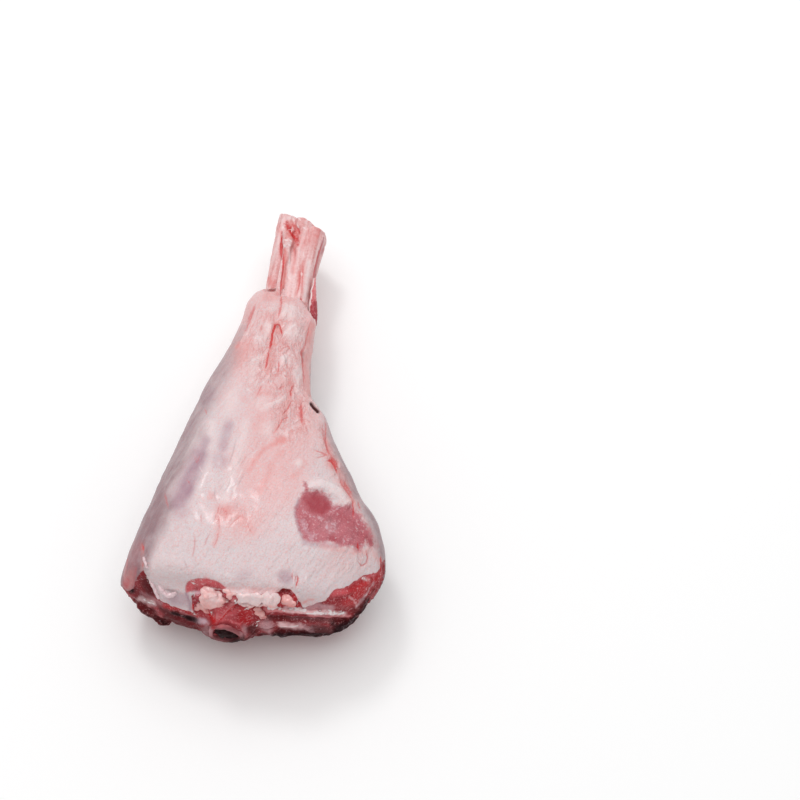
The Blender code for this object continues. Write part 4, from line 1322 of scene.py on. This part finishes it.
def marrow_finish():
    """The finish of the marrow."""
    f = Finish("dark_marrow")
    lumps, fine = f.noise(1.6 * MM, 3), f.noise(0.6 * MM, 3)
    colours = f.laid(
        f.mix((lumps + fine * 0.6).over(0.1, 0.5) * 0.6, settings().bone.core, "7c262c"),
        ((fine - lumps).over(0.1, 0.45), "1c0608"),
    )
    return f.finish(
        Base_Color=colours, Roughness=0.4 + fine * 0.2, Normal=f.bump(lumps + fine * 0.5, 0.5 * MM, 0.8),
        Specular_IOR_Level=0.03, Coat_Weight=0.02, Coat_Roughness=0.12,
    )


class SHANK_OT_bone(bpy.types.Operator):
    """Makes the bone's sawn end and its marrow"""

    bl_idname = "shank.bone"
    bl_label = "Sawn bone"

    def execute(self, context):
        size = settings().bone
        front, depth = FRONT_Y * MM, 9 * MM
        bone = made(
            bpy.ops.mesh.primitive_cylinder_add, vertices=64, radius=size.radius, depth=depth,
            location=(0, front + depth / 2, BONE_Z * MM), rotation=(math.radians(90), 0, 0), end_fill_type="NGON",
        )
        pick(bone, lambda centre, normal: normal.y < -0.9)
        for thickness in (0.5 * MM, 0.7 * MM, size.wall - 1.2 * MM):
            bpy.ops.mesh.inset(thickness=thickness)
        for _ in range(2):
            bpy.ops.mesh.extrude_region_move(TRANSFORM_OT_translate={"value": (0, 2 * MM, 0)})
        bpy.ops.object.mode_set(mode="OBJECT")
        applied(bone, "BEVEL", width=0.3 * MM, segments=2, limit_method="ANGLE", angle_limit=math.radians(40))
        applied(bone, "SUBSURF", levels=1, render_levels=1)
        points, normals = read_points(bone)
        spread = points / MM
        angle = np.arctan2(spread[:, 2] - BONE_Z, spread[:, 0])
        radial = 1 + 0.05 * np.cos(3 * angle + 0.6) + 0.03 * np.cos(5 * angle)
        spread[:, 0] *= radial
        spread[:, 2] = BONE_Z + (spread[:, 2] - BONE_Z) * radial
        spread += normals * (0.2 * ripple(spread, 1.3, 61))[:, None]
        spread[:, 1] = np.maximum(spread[:, 1], FOREMOST_Y)
        write_points(bone, spread * MM)
        canvas = Canvas(bone)
        lay_colours(bone, "flesh", canvas.coloured("bone", BONE_STROKES))
        placed(bone, "bone_end", bone_finish(), "bone_white", "bone")

        core_radius = size.radius - size.wall + 0.5 * MM
        core = made(
            bpy.ops.mesh.primitive_uv_sphere_add, segments=64, ring_count=40, radius=1,
            location=(0, front + 2.3 * MM, BONE_Z * MM), scale=(core_radius, 2.1 * MM, core_radius),
        )
        points, normals = read_points(core)
        rise = 0.6 * ripple(points / MM, 1.9, 63) + 0.35 * ripple(points / MM, 0.8, 64)
        points += normals * (rise * MM)[:, None]
        points[:, 1] = np.maximum(points[:, 1], front)
        write_points(core, points)
        placed(core, "marrow_core", marrow_finish(), "dark_marrow", "marrow")
        return {"FINISHED"}


# ---- Fat and fascia on the cut edge ----

# Groups of lumps: each lump's place in the frame, half length, half width (mm), turn and height above the flesh.
FAT_GROUPS = {
    "fat_row": (
        (243.5, 598.8, 3, 2.3, -14, 0.45), (250, 598.2, 3.6, 2.7, 6, 0.55), (256.5, 599.4, 3, 2.8, -8, 0.5),
        (245, 603.6, 2, 1.4, 25, 0.35), (249.5, 605.6, 1.3, 1.2, 0, 0.3), (254, 604.2, 1.9, 1.3, -15, 0.3),
        (259.5, 604.6, 1.3, 1.1, 0, 0.3), (267.5, 599.6, 3, 2.8, 8, 0.65), (274, 600.4, 2.8, 2.9, -6, 0.65),
        (265, 604.6, 1.5, 1.2, 0, 0.3), (271, 605.2, 2, 1, 10, 0.3), (240, 602.6, 1.2, 0.9, 40, 0.2),
    ),
    "fat_red": (
        (287, 599.6, 2.2, 2, 8, 0.6), (289, 603, 2.2, 1.7, 0, 0.5), (293.5, 604, 1.3, 1.6, 10, 0.45),
        (284, 602.5, 1.2, 1.3, 0, 0.35),
    ),
    "fat_low": (
        (258, 609.5, 1.8, 1.2, 20, 0.35), (260.5, 613.6, 2.5, 1.9, 20, 0.45), (263.5, 616.6, 1.7, 1.3, 10, 0.3),
        (256.5, 613.5, 1, 0.8, 0, 0.2),
    ),
    "torn_chunk": (
        (211, 594, 4.2, 3.2, 4, 0.3), (219, 595.5, 3.4, 3.4, -8, 0.3), (211, 601.5, 4.8, 3.4, -10, 0.35),
        (218, 602.5, 3, 2.4, -24, 0.3), (203.5, 605.5, 3.6, 2.4, -25, 0.25), (198, 608, 1.9, 1.2, -30, 0.1),
        (206, 610.5, 2.6, 1.2, 6, 0.1), (226.5, 591.5, 1.9, 1.1, -20, 0.2), (229, 596.4, 1.5, 1.1, -60, 0.2),
        (226, 600.5, 1.2, 1, 0, 0.1), (233.5, 593.6, 1.4, 0.8, -40, 0.15),
    ),
}
# How much blood stains each group.
FAT_TONES = {"fat_row": 0.1, "fat_red": 0.8, "fat_low": 0.7, "torn_chunk": 0.5}


def fat_finish():
    """The finish of fat, reddened by the mark."""
    tones = settings().fat
    f = Finish("edge_fat")
    patchy, fine, speck = f.noise(2.6 * MM, 3), f.noise(0.9 * MM, 3), f.noise(0.4 * MM, 2)
    stain = f.attribute("stain") + patchy * 0.9 + fine * 0.5
    colours = f.laid(
        f.mix(stain.over(0.0, 0.9), tones.pale, tones.pink),
        ((stain + fine * 0.5).over(0.85, 1.3) * 0.7, "c24a48"),
        ((speck + fine).over(0.2, 0.6) * 0.5, "f4e8e6"),
        ((0 - speck - fine * 0.7).over(0.15, 0.5) * 0.4, "c8706e"),
    )
    return f.finish(
        Base_Color=colours, Roughness=0.32 + patchy * 0.2, Normal=f.bump(fine + speck * 0.5, 0.4 * MM, 0.7),
        Coat_Weight=0.45, Coat_Roughness=0.14, Subsurface_Weight=0.2, Subsurface_Radius=(1.0, 0.45, 0.35),
        Subsurface_Scale=1.5 * MM,
    )


def lump_of(tree, u, v, long, wide, turn, proud, seed):
    """One uneven lump that sits on the flesh."""
    place, normal = landing(tree, u, v)
    lump = made(bpy.ops.mesh.primitive_ico_sphere_add, subdivisions=4, radius=1)
    points, _ = read_points(lump)
    thick = 0.3 * wide + 0.5
    points /= (np.abs(points) ** 2.4).sum(axis=1, keepdims=True) ** (1 / 2.4)
    points = points * np.array([long, wide, thick]) * settings().fat.lump_size
    lumpy = 1 + 0.28 * ripple(points + seed * 17, 2.0, 71)
    points = points * lumpy[:, None]
    side = np.array([math.cos(math.radians(turn)), 0, -math.sin(math.radians(turn))])
    side = side - normal * (side @ normal)
    side /= np.linalg.norm(side)
    basis = np.stack([side, np.cross(normal, side), normal], axis=1)
    middle = place + normal * (proud - 0.45 * thick)
    write_points(lump, (points @ basis.T + middle) * MM)
    return lump


class SHANK_OT_fat(bpy.types.Operator):
    """Makes the lumps of fat and torn flesh along the cut edge"""

    bl_idname = "shank.fat"
    bl_label = "Edge fat"

    def execute(self, context):
        tree = surface_of("shank_skin")
        finish = fat_finish()
        for name, notes in FAT_GROUPS.items():
            parts = [lump_of(tree, *note, seed) for seed, note in enumerate(notes)]
            group = fused(parts, 0.3 * MM, 5, 0.6)
            canvas = Canvas(group)
            canvas.push(0.24 * ripple(canvas.points, 1.5, 73) + 0.14 * ripple(canvas.points, 0.7, 74))
            down = Canvas(group).v
            down = (down - down.min()) / (down.max() - down.min())
            # The mark is each group's own stain, and it also rises towards the group's lower edge in the frame.
            lay(group, "stain", FAT_TONES[name] + 0.45 * soft_step(down, 0.55, 1.0))
            placed(group, name, finish, "silverskin")
        return {"FINISHED"}


# Strips of fascia: half width (frame units), height above the flesh (mm), then the points of the middle.
STRIPS = {
    "film_edge": (1.0, 0.5, (143.5, 557), (145, 562), (147, 569)),
    "film_curl": (1.5, 0.8, (159, 586), (162, 591), (167, 595), (172, 595.5), (176, 593)),
    "film_fold": (1.1, 0.5, (150, 581), (153, 586), (156, 592), (159, 599)),
}


def silver_finish():
    """The finish of the glossy strips."""
    f = Finish("silver_fascia")
    patchy, fine = f.noise(3 * MM, 3), f.noise(0.7 * MM, 3)
    strand = f.noise(0.7 * MM, 2, place=f.stretched((0.10, 1, 1)))
    stained = (strand * 1.8 + patchy * 1.6 + fine * 0.5).over(-0.35, 0.6) * 0.1
    return f.finish(
        Base_Color=f.mix(stained, settings().fat.silver, "a86468"), Roughness=0.32 + patchy * 0.15,
        Normal=f.bump(strand + fine * 0.6, 0.5 * MM, 0.9), Specular_IOR_Level=0.25, Coat_Weight=0.55,
        Coat_Roughness=0.12,
    )


class SHANK_OT_fascia(bpy.types.Operator):
    """Makes the glossy strips of fascia on the cut face"""

    bl_idname = "shank.fascia"
    bl_label = "Cut fascia"

    def execute(self, context):
        tree = surface_of("shank_skin")
        finish = silver_finish()
        for name, (half, proud, *middle) in STRIPS.items():
            strip = made(bpy.ops.mesh.primitive_grid_add, x_subdivisions=90, y_subdivisions=12, size=2)
            points, _ = read_points(strip)
            steps = np.linspace(0, 1, len(middle))
            us, vs = zip(*middle)
            laid = []
            for x, y, _ in points:
                t = (x + 1) / 2  # from 0 at the strip's start to 1 at its end
                taper = min(1, 5 * t, 5 * (1 - t)) ** 0.6
                wave = 1 + 0.35 * math.sin(t * 17) * math.sin(t * 7 + 2)
                u, v = np.interp(t, steps, us), np.interp(t, steps, vs) + y * half * taper * wave
                place, normal = landing(tree, u, v)
                crown = proud * taper * (1 - y * y) - 0.25
                laid.append(place + normal * crown)
            laid = np.array(laid)
            laid += 0.4 * np.stack([ripple(laid, 1.0, seed) for seed in (91, 92, 93)], axis=1)
            write_points(strip, laid * MM)
            applied(strip, "SMOOTH", factor=0.5, iterations=3)
            applied(strip, "SOLIDIFY", thickness=0.5 * MM, offset=-1)
            applied(strip, "SUBSURF", levels=1, render_levels=1)
            placed(strip, name, finish, "silverskin")
        return {"FINISHED"}


# ---- Stage ----


class SHANK_OT_stage(bpy.types.Operator):
    """Sets the camera, the floor and the lights"""

    bl_idname = "shank.stage"
    bl_label = "Stage"

    def execute(self, context):
        view = settings().view
        camera = bpy.data.objects.new("camera", bpy.data.cameras.new("camera"))
        context.scene.collection.objects.link(camera)
        camera.data.lens, camera.data.sensor_width = view.lens, SENSOR
        camera.location = view.place
        camera.rotation_mode = "QUATERNION"
        camera.rotation_quaternion = (-sight_axes()[2]).to_track_quat("-Z", "Y")
        context.scene.camera = camera
        context.scene.view_settings.view_transform = "Standard"

        alone()
        bpy.ops.mesh.primitive_plane_add(size=8, location=(0, 0, -0.0002))
        floor = bpy.context.object
        floor.name = "floor"
        f = Finish("pale_floor")
        floor.data.materials.append(f.finish(Base_Color=(0.94, 0.94, 0.94), Roughness=0.9, Specular_IOR_Level=0.1))

        world = bpy.data.worlds.new("studio")
        world.use_nodes = True
        sky = world.node_tree.nodes["Background"]
        sky.inputs["Color"].default_value = (1, 1, 1, 1)
        sky.inputs["Strength"].default_value = 0.58
        context.scene.world = world
        # Name, place, target, width in metres and power in watts.
        lamps = (
            ("overhead", (-0.1, 0.3, 1.9), (0, 0.0, 0.03), 2.6, 20.8),
            ("key", (-0.35, 0.55, 1.1), (0, 0.02, 0.03), 0.28, 2.4),
        )
        for name, place, target, size, power in lamps:
            lamp = bpy.data.lights.new(name, "AREA")
            lamp.shape, lamp.size, lamp.energy = "DISK", size, power
            obj = bpy.data.objects.new(name, lamp)
            obj.location = place
            obj.rotation_euler = (Vector(target) - Vector(place)).to_track_quat("-Z", "Y").to_euler()
            context.scene.collection.objects.link(obj)
        return {"FINISHED"}


class SHANK_PT_panel(bpy.types.Panel):
    """Lists the shank's operators and settings"""

    bl_label = "Lamb shank"
    bl_idname = "SHANK_PT_panel"
    bl_space_type = "VIEW_3D"
    bl_region_type = "UI"
    bl_category = "Shank"

    def draw(self, context):
        for name in ("stage", "hock", "skin", "sliver", "bone", "fat", "fascia"):
            self.layout.operator("shank." + name)
        shank = context.scene.shank
        for group in (shank.view, shank.skin, shank.flesh, shank.fat, shank.bone):
            for key in group.bl_rna.properties.keys():
                if key not in ("rna_type", "name"):
                    self.layout.prop(group, key)


CLASSES = (
    ViewSettings, SkinSettings, FleshSettings, FatSettings, BoneSettings, ShankSettings, SHANK_OT_stage, SHANK_OT_hock,
    SHANK_OT_skin, SHANK_OT_sliver, SHANK_OT_bone, SHANK_OT_fat, SHANK_OT_fascia, SHANK_PT_panel,
)


def register():
    """Adds the shank's classes and its settings."""
    for cls in CLASSES:
        bpy.utils.register_class(cls)
    bpy.types.Scene.shank = bpy.props.PointerProperty(type=ShankSettings)


def unregister():
    """Takes the shank's settings and classes away again."""
    del bpy.types.Scene.shank
    for cls in reversed(CLASSES):
        bpy.utils.unregister_class(cls)


def main():
    """Makes the whole scene."""
    register()
    ops = bpy.ops.shank
    for operator in (ops.stage, ops.hock, ops.skin, ops.sliver, ops.bone, ops.fat, ops.fascia):
        operator()


if __name__ == "__main__":
    main()
